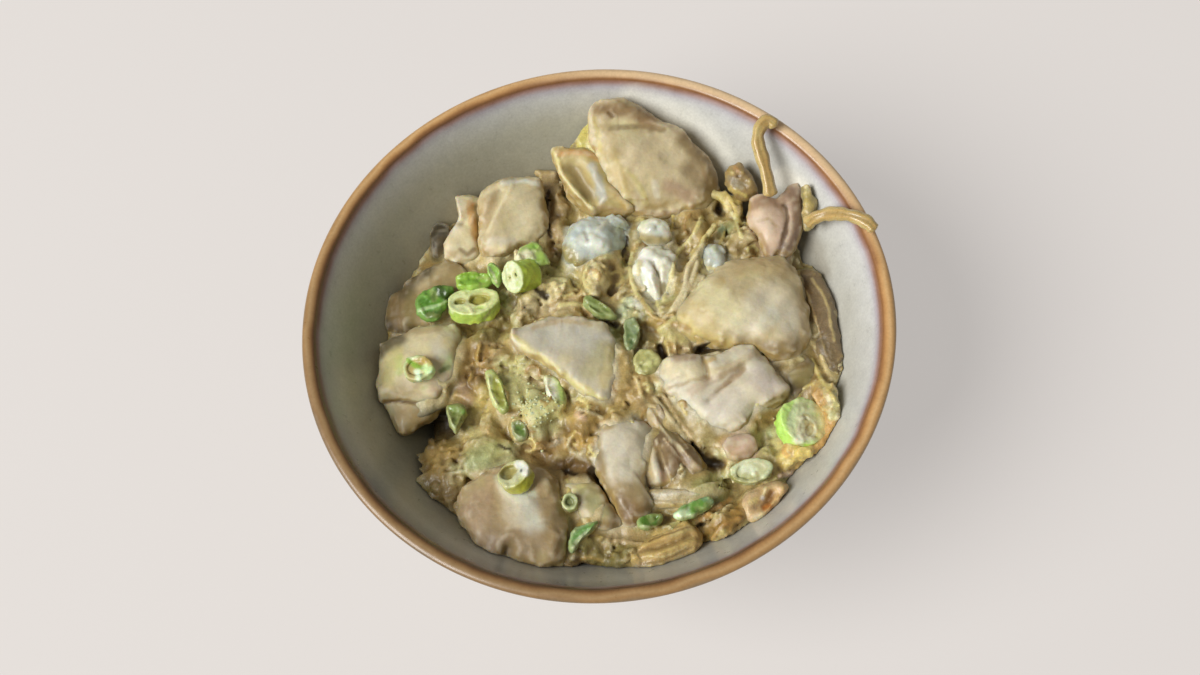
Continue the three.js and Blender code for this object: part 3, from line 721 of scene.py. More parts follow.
# Thick egg that lies over its surroundings: pixels along it, the heights of its ends, a radius and a colour
LAPS = [
    ([(818, 396), (829, 410), (832, 426), (825, 441), (806, 450), (790, 451)],
     (50.6, 49.6), 1.7, "orange gold"),
    ([(826, 392), (833, 404), (836, 416)], (50.6, 50.6), 1.3, "cream"),
    ([(594, 120), (587, 130), (583, 142), (584, 154)], (55.5, 52), 1.3, "lime gold"),
    ([(588, 134), (580, 141), (575, 150)], (52.6, 50.6), 1.0, "lime gold"),
    ([(594, 132), (592, 144), (597, 156)], (55, 53), 1.0, "pale yellow"),
    ([(538, 174), (546, 176), (554, 175)], (40, 42), 1.5, "tan meat"),
    ([(549, 184), (555, 196), (562, 208)], (41, 45), 2.2, "tan meat"),
    ([(549, 206), (553, 222), (557, 238)], (42, 44.5), 2.6, "tan meat"),
    ([(806, 193), (811, 205), (812, 220)], (57.4, 54), 1.4, "olive grey"),
    ([(809, 200), (806, 214), (806, 228)], (56.4, 53), 1.2, "olive grey"),
    ([(714, 194), (728, 199), (742, 207)], (47, 47), 1.5, "yellow"),
    ([(744, 198), (750, 208), (752, 220)], (48, 47.5), 1.5, "gold"),
    ([(640, 300), (655, 314), (672, 312), (690, 296), (700, 280)], (48, 49.5), 1.2, "cream"),
    ([(668, 262), (674, 280), (670, 298), (660, 308)], (49.6, 47.8), 0.9, "cream"),
    ([(704, 250), (694, 262), (686, 280), (680, 300)], (49.6, 49), 0.9, "ivory"),
    ([(714, 226), (704, 240), (696, 256)], (49.6, 50), 0.8, "pale yellow"),
    ([(652, 322), (668, 325), (688, 331), (700, 338)], (48.6, 49.5), 1.0, "gold"),
]

# Crumbs of egg: the middle and the spread of each cluster in pixels, how many, and their radius
GRAINS = [
    ((740, 243), (10, 13), 120, 0.8),
    ((556, 292), (14, 8), 50, 0.9),
    ((595, 278), (7, 16), 60, 0.9),
    ((832, 402), (5, 15), 50, 0.8),
    ((725, 522), (16, 11), 60, 0.9),
    ((448, 475), (15, 26), 110, 1.15),
    ((528, 300), (20, 9), 70, 1.05),
    ((734, 172), (7, 6), 60, 0.7),
    ((808, 206), (3, 12), 40, 0.7),
    ((500, 372), (26, 14), 70, 0.8),
    ((600, 552), (22, 12), 90, 0.9),
    ((632, 312), (10, 10), 40, 0.8),
    ((575, 440), (20, 12), 30, 0.7),
    ((806, 460), (16, 10), 70, 0.9),
    ((512, 250), (8, 8), 30, 0.6),
    ((440, 385), (8, 6), 20, 0.7),
    ((616, 350), (130, 125), SCATTERED_CRUMBS, 0.55),
]

# Fine foam on the egg: the middle and the spread in pixels, and how many bubbles
FOAM = ((534, 408), (15, 15), 130)

# Swells of the egg bed: a pixel, a width and a height
SWELLS = [
    ((597, 275), 8, 2.6), ((560, 300), 7, 2), ((520, 310), 6, 1.4), ((535, 400), 10, 2.6),
    ((580, 420), 7, 1.8), ((628, 380), 7, 3.2), ((690, 290), 6, 2.2), ((745, 245), 6, 4),
    ((553, 214), 6, 3), ((606, 277), 5, 3), ((735, 215), 5, 3), ((790, 450), 7, 2.4),
    ((730, 520), 6, 1.6), ((600, 555), 7, 1.8), ((665, 330), 6, 1.4), ((470, 355), 7, 1.6),
    ((690, 225), 6, 2),
]

# Colours chosen by comparing renders with the photograph, as red, green and blue of a screen
PALETTE = {
    "cream": (228, 216, 174),
    "ivory": (222, 214, 190),
    "white": (226, 228, 212),
    "blue white": (214, 222, 212),
    "grey meat": (182, 174, 146),
    "cool grey": (186, 186, 174),
    "warm meat": (204, 188, 146),
    "tan meat": (188, 164, 118),
    "brown meat": (150, 124, 80),
    "skin": (150, 118, 76),
    "pink": (216, 186, 162),
    "dusky pink": (176, 146, 116),
    "gold": (192, 162, 92),
    "deep gold": (170, 132, 68),
    "orange gold": (208, 160, 92),
    "yellow": (214, 196, 118),
    "pale yellow": (224, 214, 146),
    "olive": (134, 122, 62),
    "green egg": (166, 168, 106),
    "pale green": (198, 208, 150),
    # brown is laid mostly as painted shade in hollows, creases and clefts, and also as a line along the
    # strands
    "brown": (122, 92, 46),
    # dark is painted shade, laid in clefts and deep grooves
    "dark": (62, 48, 24),
    "lime gold": (212, 202, 104),
    "olive gold": (158, 134, 76),
    "olive grey": (150, 142, 98),
    "strand": (202, 172, 108),
    "strand edge": (206, 186, 130),
}


def linear(colour):
    """The light of a screen colour, given by its name in the palette or as three numbers."""
    values = np.array(PALETTE.get(colour, colour), float) / 255
    return np.where(values < 0.04045, values / 12.92, ((values + 0.055) / 1.055) ** 2.4)


def mark(path, width, colour=None, strength=0.85, lift=0.0):
    """A stroke along pixels of a piece's top: its half width in millimetres, the colour laid on, how much of
    it, and how far it stands proud."""
    path = np.atleast_2d(np.array(path, float))
    return dict(path=path, width=width, colour=colour, strength=strength, lift=lift)


CHICKEN_LOOKS = {
    "chicken_centre": ((206, 197, 172), [
        # Painted sheen: a whitish patch across the top
        mark([(540, 338), (575, 335), (596, 345)], 4.5, (200, 196, 178), 0.7),
        mark([(590, 372), (604, 350)], 3.2, (180, 172, 126), 0.7),
        mark([(604, 384), (612, 350)], 1.8, "yellow", 0.45),
        mark([(512, 338), (540, 358), (572, 382), (604, 402)], 1.25, "pale yellow", 0.95, 0.35),
        mark([(512, 342), (516, 347)], 1.1, "white", 0.8),
        mark([(532, 328), (560, 321), (592, 324)], 0.8, "tan meat", 0.6),
    ]),
    "chicken_right": ("warm meat", [
        mark([(748, 320), (772, 300), (790, 320)], 5, "ivory", 0.7),
        # Painted highlight
        mark([(764, 325), (772, 315)], 2.2, "white", 0.4),
        mark([(738, 268), (762, 263), (786, 270)], 2.6, "tan meat", 0.6),
        mark([(684, 322), (696, 338), (725, 346)], 2.8, "yellow", 0.8),
        mark([(700, 308), (712, 330)], 3, (210, 192, 138), 0.7),
        mark([(720, 282), (704, 300)], 1.5, "gold", 0.6),
        mark([(802, 300), (806, 330), (798, 352)], 1.7, "tan meat", 0.7),
        mark([(760, 352), (792, 356)], 1.6, "brown meat", 0.6),
        mark([(746, 346), (768, 350), (790, 348)], 2.8, (142, 120, 80), 0.8),
        mark([(706, 290), (722, 304), (732, 316)], 4.2, (238, 230, 184), 0.75),
        mark([(676, 322), (690, 330)], 0.9, "deep gold", 0.7, -0.4),
    ]),
    # Its tan and brown strokes sunk with a negative lift are painted shade in its creases
    "chicken_near_right": ("ivory", [
        mark([(664, 366), (680, 372), (697, 370)], 3, "cream", 0.7, 0.3),
        mark([(676, 358), (694, 356)], 1.2, "dusky pink", 0.7),
        mark([(703, 358), (706, 368), (708, 378)], 0.7, "brown meat", 0.8, -0.6),
        mark([(668, 389), (688, 382), (706, 377)], 0.5, "tan meat", 0.6, -0.4),
        mark([(690, 392), (714, 378), (736, 366)], 1.3, "dusky pink", 0.5, 0.4),
        mark([(712, 372), (734, 364), (756, 353)], 1.1, "warm meat", 0.7, 0.4),
        mark([(708, 400), (724, 386), (744, 369)], 0.9, (190, 162, 128), 0.8, -0.3),
        mark([(722, 376), (744, 364)], 0.8, "tan meat", 0.5, -0.2),
        mark([(716, 392), (732, 382)], 0.3, "brown meat", 0.6, -0.2),
        mark([(676, 410), (700, 420)], 3, "cream", 0.7),
        mark([(682, 416), (690, 424)], 1.4, "pale yellow", 0.6),
        mark([(716, 406), (734, 402)], 4, (226, 218, 200), 0.8),
        mark([(758, 376), (774, 388)], 3.2, (216, 204, 190), 0.8),
        mark([(788, 392), (768, 408), (750, 422)], 1.8, "tan meat", 0.8),
        mark([(784, 396), (764, 404), (748, 418)], 0.5, "brown meat", 0.5, -0.3),
        mark([(780, 402), (762, 414)], 0.35, "brown", 0.6, -0.5),
        mark([(772, 398), (752, 412), (744, 424)], 0.4, "ivory", 0.6, 0.4),
        mark([(714, 438), (730, 434), (746, 430)], 0.9, "dusky pink", 0.7),
        mark([(706, 362), (714, 358)], 0.8, "gold", 0.7),
    ]),
    "chicken_near": ("ivory", [
        mark([(612, 436), (614, 470), (628, 498)], 3.4, "ivory", 0.8),
        mark([(644, 430), (650, 456)], 2.4, "grey meat", 0.7),
        mark([(618, 490), (640, 492)], 2.4, "tan meat", 0.6),
        mark([(622, 508), (636, 512), (630, 526)], 4, (158, 122, 66), 0.95),
        mark([(620, 500), (630, 516), (634, 528)], 0.4, (186, 150, 92), 0.7, 0.2),
        mark([(612, 494), (620, 508)], 1.6, (206, 190, 150), 0.7, 0.3),
        mark([(646, 500), (650, 512)], 1.2, (150, 118, 70), 0.7),
        mark([(598, 428), (598, 444)], 1.2, (172, 150, 102), 0.8),
        mark([(598, 446), (602, 476), (614, 504)], 1.1, "tan meat", 0.7),
        mark([(640, 462), (638, 492)], 1.6, "warm meat", 0.6),
        mark([(612, 488), (636, 494)], 3.6, (160, 138, 92), 0.7),
        mark([(598, 456), (602, 480), (610, 500)], 2.2, (140, 120, 78), 0.7),
        mark([(616, 506), (628, 516), (642, 520)], 4.2, (122, 94, 48), 0.85),
        mark([(646, 456), (648, 478)], 2.0, (230, 218, 186), 0.7),
    ]),
    "chicken_near_shred": ((132, 108, 72), [
        mark([(656, 440), (664, 462), (672, 484)], 0.35, (186, 164, 124), 0.8, 0.45),
        mark([(664, 438), (680, 458), (694, 476)], 0.35, (196, 170, 126), 0.8, 0.45),
        mark([(678, 444), (692, 460), (702, 470)], 0.35, (176, 150, 106), 0.8, 0.4),
        mark([(644, 400), (660, 424), (672, 442)], 0.35, (206, 186, 142), 0.8, 0.4),
        mark([(654, 398), (670, 424), (688, 448)], 0.3, (176, 150, 100), 0.8, 0.35),
        mark([(649, 450), (653, 466), (657, 482)], 1.3, "white", 0.9, 0.4),
        mark([(660, 474), (666, 482)], 1.1, "pink", 0.6),
        mark([(694, 466), (702, 474)], 1.4, "tan meat", 0.7, 0.3),
        mark([(672, 446), (686, 464)], 1.2, "dusky pink", 0.4),
        mark([(676, 462), (690, 478)], 1.6, "skin", 0.6),
        mark([(650, 404), (664, 428), (682, 450)], 0.9, "warm meat", 0.8, 0.4),
        mark([(642, 408), (652, 424)], 2.4, (216, 200, 162), 0.75),
        mark([(650, 460), (652, 476)], 1.8, (214, 200, 166), 0.7),
        # Painted shade along its lower edge
        mark([(646, 488), (672, 486), (692, 482)], 0.7, "brown", 0.8, -0.4),
    ]),
    "chicken_near_left": ((190, 166, 124), [
        mark([(497, 478), (504, 490), (516, 498), (532, 494)], 1.1, (212, 212, 174), 0.75, 0.2),
        mark([(478, 500), (476, 528), (492, 548)], 4.2, (184, 156, 128), 0.7),
        mark([(524, 500), (530, 516), (534, 530)], 3.4, "white", 0.75),
        mark([(508, 492), (516, 520)], 3, "ivory", 0.6),
        mark([(545, 540), (520, 548)], 2.6, "tan meat", 0.8),
        mark([(500, 538), (520, 545), (536, 540)], 4.2, (152, 130, 94), 0.75),
        # Painted shade in the deep groove
        mark([(506, 548), (500, 566)], 0.7, "dark", 0.95, -1.2),
        mark([(552, 556), (562, 536)], 1.8, "brown meat", 0.8),
        mark([(555, 484), (562, 512)], 1.5, "brown meat", 0.55),
        mark([(502, 484), (530, 486)], 1.8, "ivory", 0.6),
        mark([(484, 554), (500, 560)], 1.8, "brown meat", 0.6),
    ]),
    "chicken_near_small": ("warm meat", [
        mark([(586, 492), (602, 512)], 3, "green egg", 0.55),
        mark([(572, 490), (590, 484), (604, 498)], 0.9, "pale yellow", 0.6, 0.2),
        mark([(590, 520), (606, 526)], 1.4, "gold", 0.7),
        mark([(612, 500), (620, 514), (616, 526)], 3.2, (112, 86, 44), 0.85),
        mark([(590, 484), (602, 490)], 2.0, (138, 120, 74), 0.6),
    ]),
    "chicken_back": ((216, 200, 160), [
        mark([(600, 112), (626, 110), (652, 122)], 2.4, "skin", 0.85, 0.25),
        # Painted shade in the groove across the skin
        mark([(612, 128), (640, 126), (664, 130)], 0.8, "brown meat", 0.7, -0.5),
        mark([(609, 113), (612, 117)], 0.6, "brown", 0.9, -0.5),
        mark([(606, 140), (626, 138)], 3.2, "cream", 0.6),
        mark([(640, 150), (665, 165)], 5, (212, 196, 156), 0.7),
        # Painted shade on its right side
        mark([(684, 140), (706, 165), (714, 196)], 2.4, "brown meat", 0.8),
        mark([(654, 182), (658, 198)], 1, "ivory", 0.8, 0.3),
        mark([(626, 170), (640, 188), (646, 204)], 0.9, "pale yellow", 0.7, 0.3),
        mark([(612, 150), (622, 180), (630, 204)], 1.2, "yellow", 0.7, 0.2),
        mark([(668, 186), (690, 196)], 2.4, "dusky pink", 0.7),
        # Painted shade on its right side
        mark([(690, 170), (702, 186)], 2.8, (148, 124, 86), 0.7),
        mark([(616, 172), (628, 186)], 2.8, (196, 174, 116), 0.7),
        mark([(620, 212), (655, 216), (694, 212)], 1.2, "dusky pink", 0.8, 0.5),
        mark([(600, 122), (610, 138), (612, 152)], 2.8, (188, 168, 120), 0.75),
        mark([(594, 118), (598, 134), (600, 150)], 0.8, "yellow", 0.6),
    ]),
    "chicken_back_fold": ((190, 172, 112), [
        mark([(555, 154), (562, 174), (578, 194), (592, 208)], 0.7, "pale yellow", 0.95, 0.7),
        mark([(560, 153), (584, 152), (602, 160)], 1.0, "orange gold", 0.75, 0.4),
        # Painted shade in the fold
        mark([(570, 168), (582, 182), (588, 194)], 2.2, (158, 136, 86), 0.8, -0.2),
        mark([(566, 160), (580, 162), (592, 168)], 1.4, (204, 186, 130), 0.6),
        mark([(592, 166), (598, 180), (602, 198)], 1.5, "cool grey", 0.85, 0.4),
        mark([(604, 166), (614, 186), (626, 206)], 1.3, "gold", 0.8, 0.4),
        mark([(600, 208), (622, 212)], 1.1, "dusky pink", 0.6),
    ]),
    "chicken_upper_left": ("warm meat", [
        mark([(516, 196), (524, 214), (520, 232)], 4.4, "cream", 0.7),
        mark([(490, 200), (484, 222)], 2.2, "tan meat", 0.75),
        mark([(512, 186), (500, 206), (487, 232)], 0.6, "cream", 0.5, 0.35),
        mark([(502, 183), (522, 181), (540, 184)], 0.7, "white", 0.75, 0.2),
        mark([(486, 194), (498, 187)], 0.8, "cream", 0.6),
        mark([(543, 200), (545, 226)], 0.9, "tan meat", 0.8),
        mark([(492, 244), (512, 242)], 1.6, "ivory", 0.6),
        mark([(494, 251), (512, 252)], 2, (238, 222, 172), 0.8),
        mark([(486, 252), (504, 258)], 1.4, "pink", 0.5),
    ]),
    "chicken_upper_left_flap": ("cream", [
        mark([(458, 202), (458, 214), (452, 232)], 1.4, "ivory", 0.8),
        mark([(470, 204), (473, 222), (478, 242)], 1.2, "orange gold", 0.85, 0.5),
        # Painted shade in its creases
        mark([(460, 250), (468, 254), (474, 250)], 0.8, "brown meat", 0.8, -0.4),
        mark([(476, 206), (480, 230)], 0.7, "brown meat", 0.7, -0.4),
        mark([(450, 252), (460, 258)], 1.1, "tan meat", 0.7),
    ]),
    # Painted shade: the whole piece is coloured dark because it lies in shade by the wall
    "chicken_left_back": ((72, 62, 36), []),
    "chicken_left_deep": ((178, 156, 108), [
        mark([(440, 270), (420, 282)], 2, "warm meat", 0.6),
        # Painted shade on its left side and upper edge, towards the wall
        mark([(395, 305), (392, 325)], 3, "brown meat", 0.8),
        mark([(382, 326), (396, 336), (412, 332)], 2.6, (84, 70, 42), 0.8),
        mark([(404, 292), (414, 278), (428, 268)], 2.4, (84, 72, 46), 0.7),
        mark([(412, 296), (410, 320)], 2, "olive", 0.4),
    ]),
    "chicken_left": ("cream", [
        mark([(399, 358), (398, 372)], 1.3, (196, 214, 130), 0.85),
        mark([(442, 353), (452, 358), (447, 366)], 1.5, (206, 216, 154), 0.9, 0.15),
        mark([(441, 371), (450, 367)], 0.7, (136, 150, 86), 0.8),
        mark([(422, 388), (436, 384)], 0.6, (196, 198, 142), 0.6),
        mark([(395, 350), (388, 380)], 2.6, "pale yellow", 0.7),
        # Painted shade on its upper left edge, by the wall
        mark([(380, 352), (388, 344), (400, 338)], 2.2, (96, 82, 54), 0.8),
        mark([(398, 398), (410, 388)], 3, (190, 168, 118), 0.7),
        mark([(440, 350), (452, 340)], 3, "ivory", 0.8),
        mark([(448, 342), (458, 352)], 2.2, (228, 210, 152), 0.7),
        mark([(436, 388), (448, 382)], 2.6, "pink", 0.6),
        # Painted shade in the crease
        mark([(384, 402), (402, 401), (420, 404), (436, 406)], 0.6, "brown", 0.9, -0.8),
        mark([(402, 414), (424, 412)], 2.8, "tan meat", 0.85),
        # Painted shade on its lower part
        mark([(404, 430), (424, 424)], 2, "brown meat", 0.6),
        mark([(406, 332), (440, 328)], 1.2, "tan meat", 0.6),
        mark([(456, 350), (460, 372)], 1.2, "tan meat", 0.6),
    ]),
    "chicken_right_low": ((120, 98, 60), [
        mark([(788, 366), (806, 362)], 1.6, "brown", 0.7),
        mark([(796, 384), (808, 380)], 1.6, "olive", 0.5),
    ]),
    "chicken_rim": ((214, 188, 162), [
        mark([(762, 214), (766, 236)], 2.6, (224, 202, 176), 0.7),
        mark([(752, 205), (768, 201), (782, 204)], 1.8, (162, 130, 98), 0.85),
        mark([(758, 222), (768, 218), (776, 226)], 0.5, "tan meat", 0.5, -0.25),
        mark([(760, 234), (766, 246), (768, 256)], 0.6, "dusky pink", 0.6, -0.25),
        mark([(762, 246), (768, 256)], 2, (146, 114, 82), 0.7),
        mark([(792, 192), (799, 200), (798, 236), (786, 252)], 2.6, (124, 98, 74), 0.85),
        mark([(794, 198), (796, 208)], 0.8, (158, 128, 100), 0.6, 0.2),
        # Painted shade in the gap between its lobes
        mark([(784, 206), (787, 222), (782, 244), (775, 258)], 0.75, (98, 72, 46), 0.9, -0.6),
        mark([(780, 200), (788, 190)], 0.8, (170, 140, 110), 0.6),
    ]),
    "chicken_scrap": ("pink", [
        mark([(728, 444), (744, 441)], 1, "ivory", 0.5, 0.2),
        mark([(738, 456), (750, 452)], 1.2, "dusky pink", 0.5),
    ]),
}

WHITE_LOOKS = {
    "egg_white_left": ("blue white", [
        mark([(566, 252), (571, 258), (577, 266)], 2.2, (164, 152, 94), 0.95),
        mark([(580, 264), (604, 260)], 0.9, (190, 180, 132), 0.7),
        # Painted highlight: the brightest white on its top
        mark([(588, 238), (602, 246)], 2.6, (244, 248, 232), 0.8, 0.3),
        mark([(572, 236), (580, 228)], 1.2, (204, 216, 216), 0.7, 0.3),
        # Painted shade on its right side
        mark([(616, 232), (620, 246)], 2.4, (134, 140, 108), 0.7),
        mark([(608, 228), (612, 236)], 0.8, (190, 204, 196), 0.8, 0.2),
        # Painted highlight: the brightest white on its top
        mark([(598, 230), (606, 222)], 0.8, "white", 0.9, 0.3),
        # Painted shade in its creases
        mark([(606, 258), (612, 254)], 0.7, "olive", 0.8, -0.5),
        mark([(584, 232), (588, 240)], 0.6, "cool grey", 0.8, -0.3),
    ]),
    "egg_white_top": ((246, 246, 226), [
        mark([(652, 228), (658, 234)], 1.6, "blue white", 0.8),
        mark([(642, 238), (666, 241)], 0.9, "yellow", 0.7),
        # Painted shade along its lower edge
        mark([(638, 236), (652, 240), (668, 240)], 1.6, (164, 150, 104), 0.8),
    ]),
    "egg_white_middle": ((242, 240, 220), [
        mark([(642, 264), (656, 256), (670, 256)], 1.8, "white", 0.7),
        mark([(645, 268), (652, 280), (656, 292)], 0.7, "white", 0.7, 0.4),
        mark([(644, 256), (650, 262), (648, 274)], 1.9, (255, 255, 244), 0.95),
        # The tan and olive gold strokes sunk into creases are painted shade
        mark([(654, 266), (660, 280), (662, 296)], 0.35, "tan meat", 0.8, -0.4),
        mark([(640, 276), (644, 290), (652, 300)], 0.4, "yellow", 0.6, -0.3),
        mark([(664, 284), (664, 298)], 0.8, "olive gold", 0.75, -0.5),
        mark([(672, 266), (674, 282), (668, 300)], 0.6, "cream", 0.8, 0.3),
        mark([(640, 262), (638, 282)], 0.8, "pale yellow", 0.6, 0.2),
    ]),
    "egg_white_right": ((186, 188, 170), [
        mark([(710, 252), (716, 262)], 1.5, "blue white", 0.8),
        mark([(708, 268), (720, 272)], 0.9, "yellow", 0.6),
    ]),
}

FOLD_LOOKS = {
    "egg_fold_right": ((136, 116, 84), [
        mark([(802, 280), (816, 310), (826, 350)], 1.5, (122, 102, 72), 0.8),
        mark([(812, 278), (826, 300), (834, 340)], 0.5, "strand edge", 0.6, 0.3),
        mark([(806, 290), (816, 322), (830, 366)], 0.4, "tan meat", 0.7, 0.25),
        # Painted shade in a crease
        mark([(804, 284), (810, 292)], 0.8, "brown", 0.8, -0.3),
        mark([(822, 342), (836, 372)], 2.0, (112, 96, 66), 0.85),
    ]),
    # Its darker strokes sunk with a negative lift are painted shade in its folds
    "egg_fold_near": ((196, 166, 104), [
        mark([(640, 552), (664, 546), (690, 535)], 0.5, (150, 120, 66), 0.75, -0.4),
        mark([(634, 558), (664, 552), (694, 540)], 0.8, (206, 178, 112), 0.8, 0.4),
        mark([(640, 563), (664, 560), (692, 548)], 0.4, (148, 122, 74), 0.7, -0.3),
        mark([(636, 566), (662, 566), (688, 556)], 0.9, (162, 148, 122), 0.85, 0.1),
        mark([(672, 534), (690, 528)], 0.9, (206, 190, 132), 0.7, 0.3),
        mark([(644, 545), (664, 538)], 0.7, (214, 176, 104), 0.6, 0.3),
        mark([(650, 541), (672, 532), (690, 527)], 0.3, (140, 108, 58), 0.7, -0.3),
        mark([(646, 556), (664, 556), (686, 547)], 0.3, (222, 204, 150), 0.7, 0.3),
        mark([(636, 552), (642, 560), (640, 568)], 0.3, (150, 122, 72), 0.6, -0.3),
        mark([(696, 534), (698, 546)], 0.9, (176, 140, 80), 0.7),
    ]),
    "egg_fold_near_right": ((206, 174, 122), [
        mark([(748, 519), (746, 504), (752, 494)], 1.5, (222, 192, 146), 0.8, 0.4),
        mark([(766, 488), (778, 484), (785, 489)], 1.1, (202, 174, 130), 0.85, 0.5),
        mark([(783, 490), (774, 504), (764, 514)], 1, (204, 168, 120), 0.8, 0.2),
        # Painted shade in the fold
        mark([(772, 492), (770, 500), (764, 506)], 0.9, (140, 98, 50), 0.9, -0.9),
        mark([(764, 508), (770, 506)], 0.8, (190, 120, 52), 0.9, -0.3),
        mark([(750, 502), (756, 500)], 0.9, "yellow", 0.6),
        mark([(763, 498)], 0.8, (232, 232, 228), 0.95, 0.4),
        mark([(766, 488), (764, 494)], 0.5, "cream", 0.7, 0.3),
        mark([(754, 518), (762, 515)], 0.9, "cream", 0.7, 0.2),
    ]),
    "egg_fold_strip": ((206, 190, 148), [
        mark([(650, 494), (676, 493), (704, 494)], 0.6, "ivory", 0.7, 0.3),
        mark([(656, 500), (690, 501)], 0.4, "tan meat", 0.6, -0.25),
        mark([(656, 505), (690, 506)], 0.6, "gold", 0.6),
        mark([(700, 496), (724, 486)], 1.6, "green egg", 0.8),
    ]),
    "egg_fold_far": ((158, 134, 88), [
        mark([(730, 170), (728, 178)], 1, "olive gold", 0.7),
        mark([(735, 167), (738, 171)], 0.6, (190, 146, 92), 0.7, 0.3),
        # Painted shade in a dip
        mark([(729, 178), (738, 182), (746, 184)], 0.9, (142, 128, 96), 0.8, -0.5),
        mark([(732, 172)], 0.8, (186, 166, 112), 0.8, 0.7),
        mark([(743, 172)], 0.8, (150, 124, 76), 0.8, 0.7),
        mark([(749, 182)], 0.9, (176, 158, 106), 0.8, 0.7),
        mark([(737, 190)], 0.9, (188, 172, 118), 0.8, 0.6),
        # Painted shade in a dip
        mark([(738, 176)], 0.5, (112, 90, 56), 0.8, -0.6),
        mark([(732, 184), (742, 188)], 0.6, (166, 156, 128), 0.8, 0.1),
        mark([(743, 176), (750, 188)], 0.8, (150, 128, 80), 0.7),
        mark([(730, 189), (746, 196)], 0.6, "yellow", 0.7, 0.3),
    ]),
}

# Leaves: the colour inside, the colour of the edge, and strokes
LEAF_LOOKS = {
    "onion_leaf_dark": ((104, 154, 52), (128, 170, 80), [
        # Painted highlight
        mark([(420, 296), (436, 291)], 1.0, (140, 186, 84), 0.6),
        mark([(440, 290), (450, 300)], 1.7, (58, 84, 22), 0.95),
        mark([(418, 311), (430, 308), (440, 305), (447, 301)], 0.5, (186, 214, 150), 0.9, 0.2),
        mark([(428, 315), (440, 313)], 1.1, (64, 96, 34), 0.8),
        mark([(422, 300), (428, 302)], 0.7, (88, 140, 46), 0.6),
    ]),
    "onion_leaf_behind": ((142, 184, 62), (166, 200, 90), [
        mark([(460, 283), (476, 281)], 0.6, (120, 160, 56), 0.7),
        mark([(478, 278), (490, 279)], 0.5, (184, 196, 120), 0.6),
    ]),
    "onion_leaf_top": ((164, 194, 92), (196, 214, 130), [
        mark([(513, 261), (520, 257), (528, 254)], 1.7, (248, 240, 198), 0.95, 0.3),
        mark([(518, 254), (524, 260)], 0.35, (128, 132, 78), 0.7),
        mark([(530, 248), (540, 246)], 0.8, (156, 200, 84), 0.8, 0.2),
        mark([(538, 254), (544, 262)], 1, (160, 190, 84), 0.7),
        # Painted shade in a crease
        mark([(524, 262), (534, 262)], 0.5, (90, 112, 48), 0.6, -0.3),
        mark([(528, 254), (534, 258)], 0.6, (196, 196, 148), 0.7, 0.2),
    ]),
    "onion_leaf_sliver": ((152, 194, 88), (180, 212, 124), [
        mark([(489, 268), (497, 282)], 0.5, (196, 206, 156), 0.8, 0.2),
    ]),
    "onion_leaf_middle": ((174, 180, 82), (206, 220, 140), [
        mark([(489, 376), (490, 390), (496, 406)], 0.7, (232, 238, 174), 0.95, 0.3),
        mark([(500, 376), (506, 392), (510, 408)], 0.6, (150, 184, 92), 0.85, 0.2),
        # Painted shade in a crease
        mark([(494, 380), (498, 392), (502, 402)], 0.7, (146, 138, 60), 0.55, -0.2),
        mark([(503, 410), (508, 412)], 0.7, (164, 172, 92), 0.7),
    ]),
    "onion_leaf_centre": ((190, 206, 130), (198, 210, 146), [
        mark([(548, 382), (553, 400)], 1.8, (252, 254, 230), 0.95, 0.2),
        mark([(560, 382), (563, 398)], 0.7, (160, 182, 90), 0.8),
        mark([(556, 400), (561, 403)], 0.7, (176, 180, 96), 0.7),
    ]),
    "onion_leaf_lower_left": ((110, 128, 50), (150, 156, 96), [
        mark([(448, 412), (451, 422), (456, 431)], 0.6, (190, 200, 146), 0.75, 0.2),
        mark([(452, 408), (464, 411)], 0.8, (132, 172, 78), 0.8, 0.1),
        mark([(456, 418), (462, 420)], 0.8, (96, 112, 42), 0.7),
    ]),
    "onion_leaf_low": ((118, 132, 66), (182, 188, 140), [
        mark([(513, 426), (513, 435)], 0.5, (196, 204, 160), 0.8, 0.2),
        mark([(518, 428), (524, 434)], 0.8, (104, 136, 60), 0.8),
    ]),
    "onion_leaf_heart": ((134, 150, 76), (170, 182, 118), [
        mark([(586, 300), (600, 309), (612, 317)], 0.5, (176, 192, 128), 0.7, 0.2),
        mark([(592, 308), (604, 316)], 0.6, (110, 132, 60), 0.7),
    ]),
    "onion_leaf_dark_heart": ((126, 144, 92), (160, 170, 126), [
        mark([(629, 324), (633, 331)], 0.8, (150, 166, 130), 0.8, 0.2),
        mark([(629, 336), (631, 347)], 0.7, (84, 112, 64), 0.8),
    ]),
    "onion_leaf_pale": ((190, 188, 120), (200, 198, 134), [
        mark([(640, 364), (652, 360)], 1.2, (206, 206, 146), 0.7, 0.2),
        mark([(648, 374), (656, 368)], 0.8, "olive", 0.5),
        # Painted shade in a crease
        mark([(640, 372), (646, 374)], 0.4, "olive", 0.6, -0.2),
    ]),
    "onion_leaf_near": ((124, 166, 84), (166, 190, 128), [
        mark([(676, 516), (688, 512)], 1.4, (226, 250, 210), 0.95, 0.1),
        mark([(694, 509), (704, 504)], 1.7, (108, 156, 62), 1.0),
        mark([(704, 499), (713, 503)], 0.7, (120, 148, 112), 0.7),
        mark([(680, 519), (696, 514)], 0.4, (200, 210, 170), 0.6, 0.2),
    ]),
    "onion_leaf_near_small": ((96, 132, 48), (160, 176, 112), [
        mark([(643, 521), (654, 523)], 1.2, (84, 122, 36), 0.9),
        mark([(640, 527), (656, 526)], 0.4, (190, 198, 146), 0.8, 0.2),
    ]),
    "onion_leaf_curl": ((132, 166, 104), (166, 186, 132), [
        mark([(573, 538), (583, 530), (597, 523)], 0.5, (110, 156, 80), 0.85, 0.3),
        mark([(574, 548), (578, 540), (586, 534)], 0.7, (190, 200, 158), 0.8),
    ]),
}

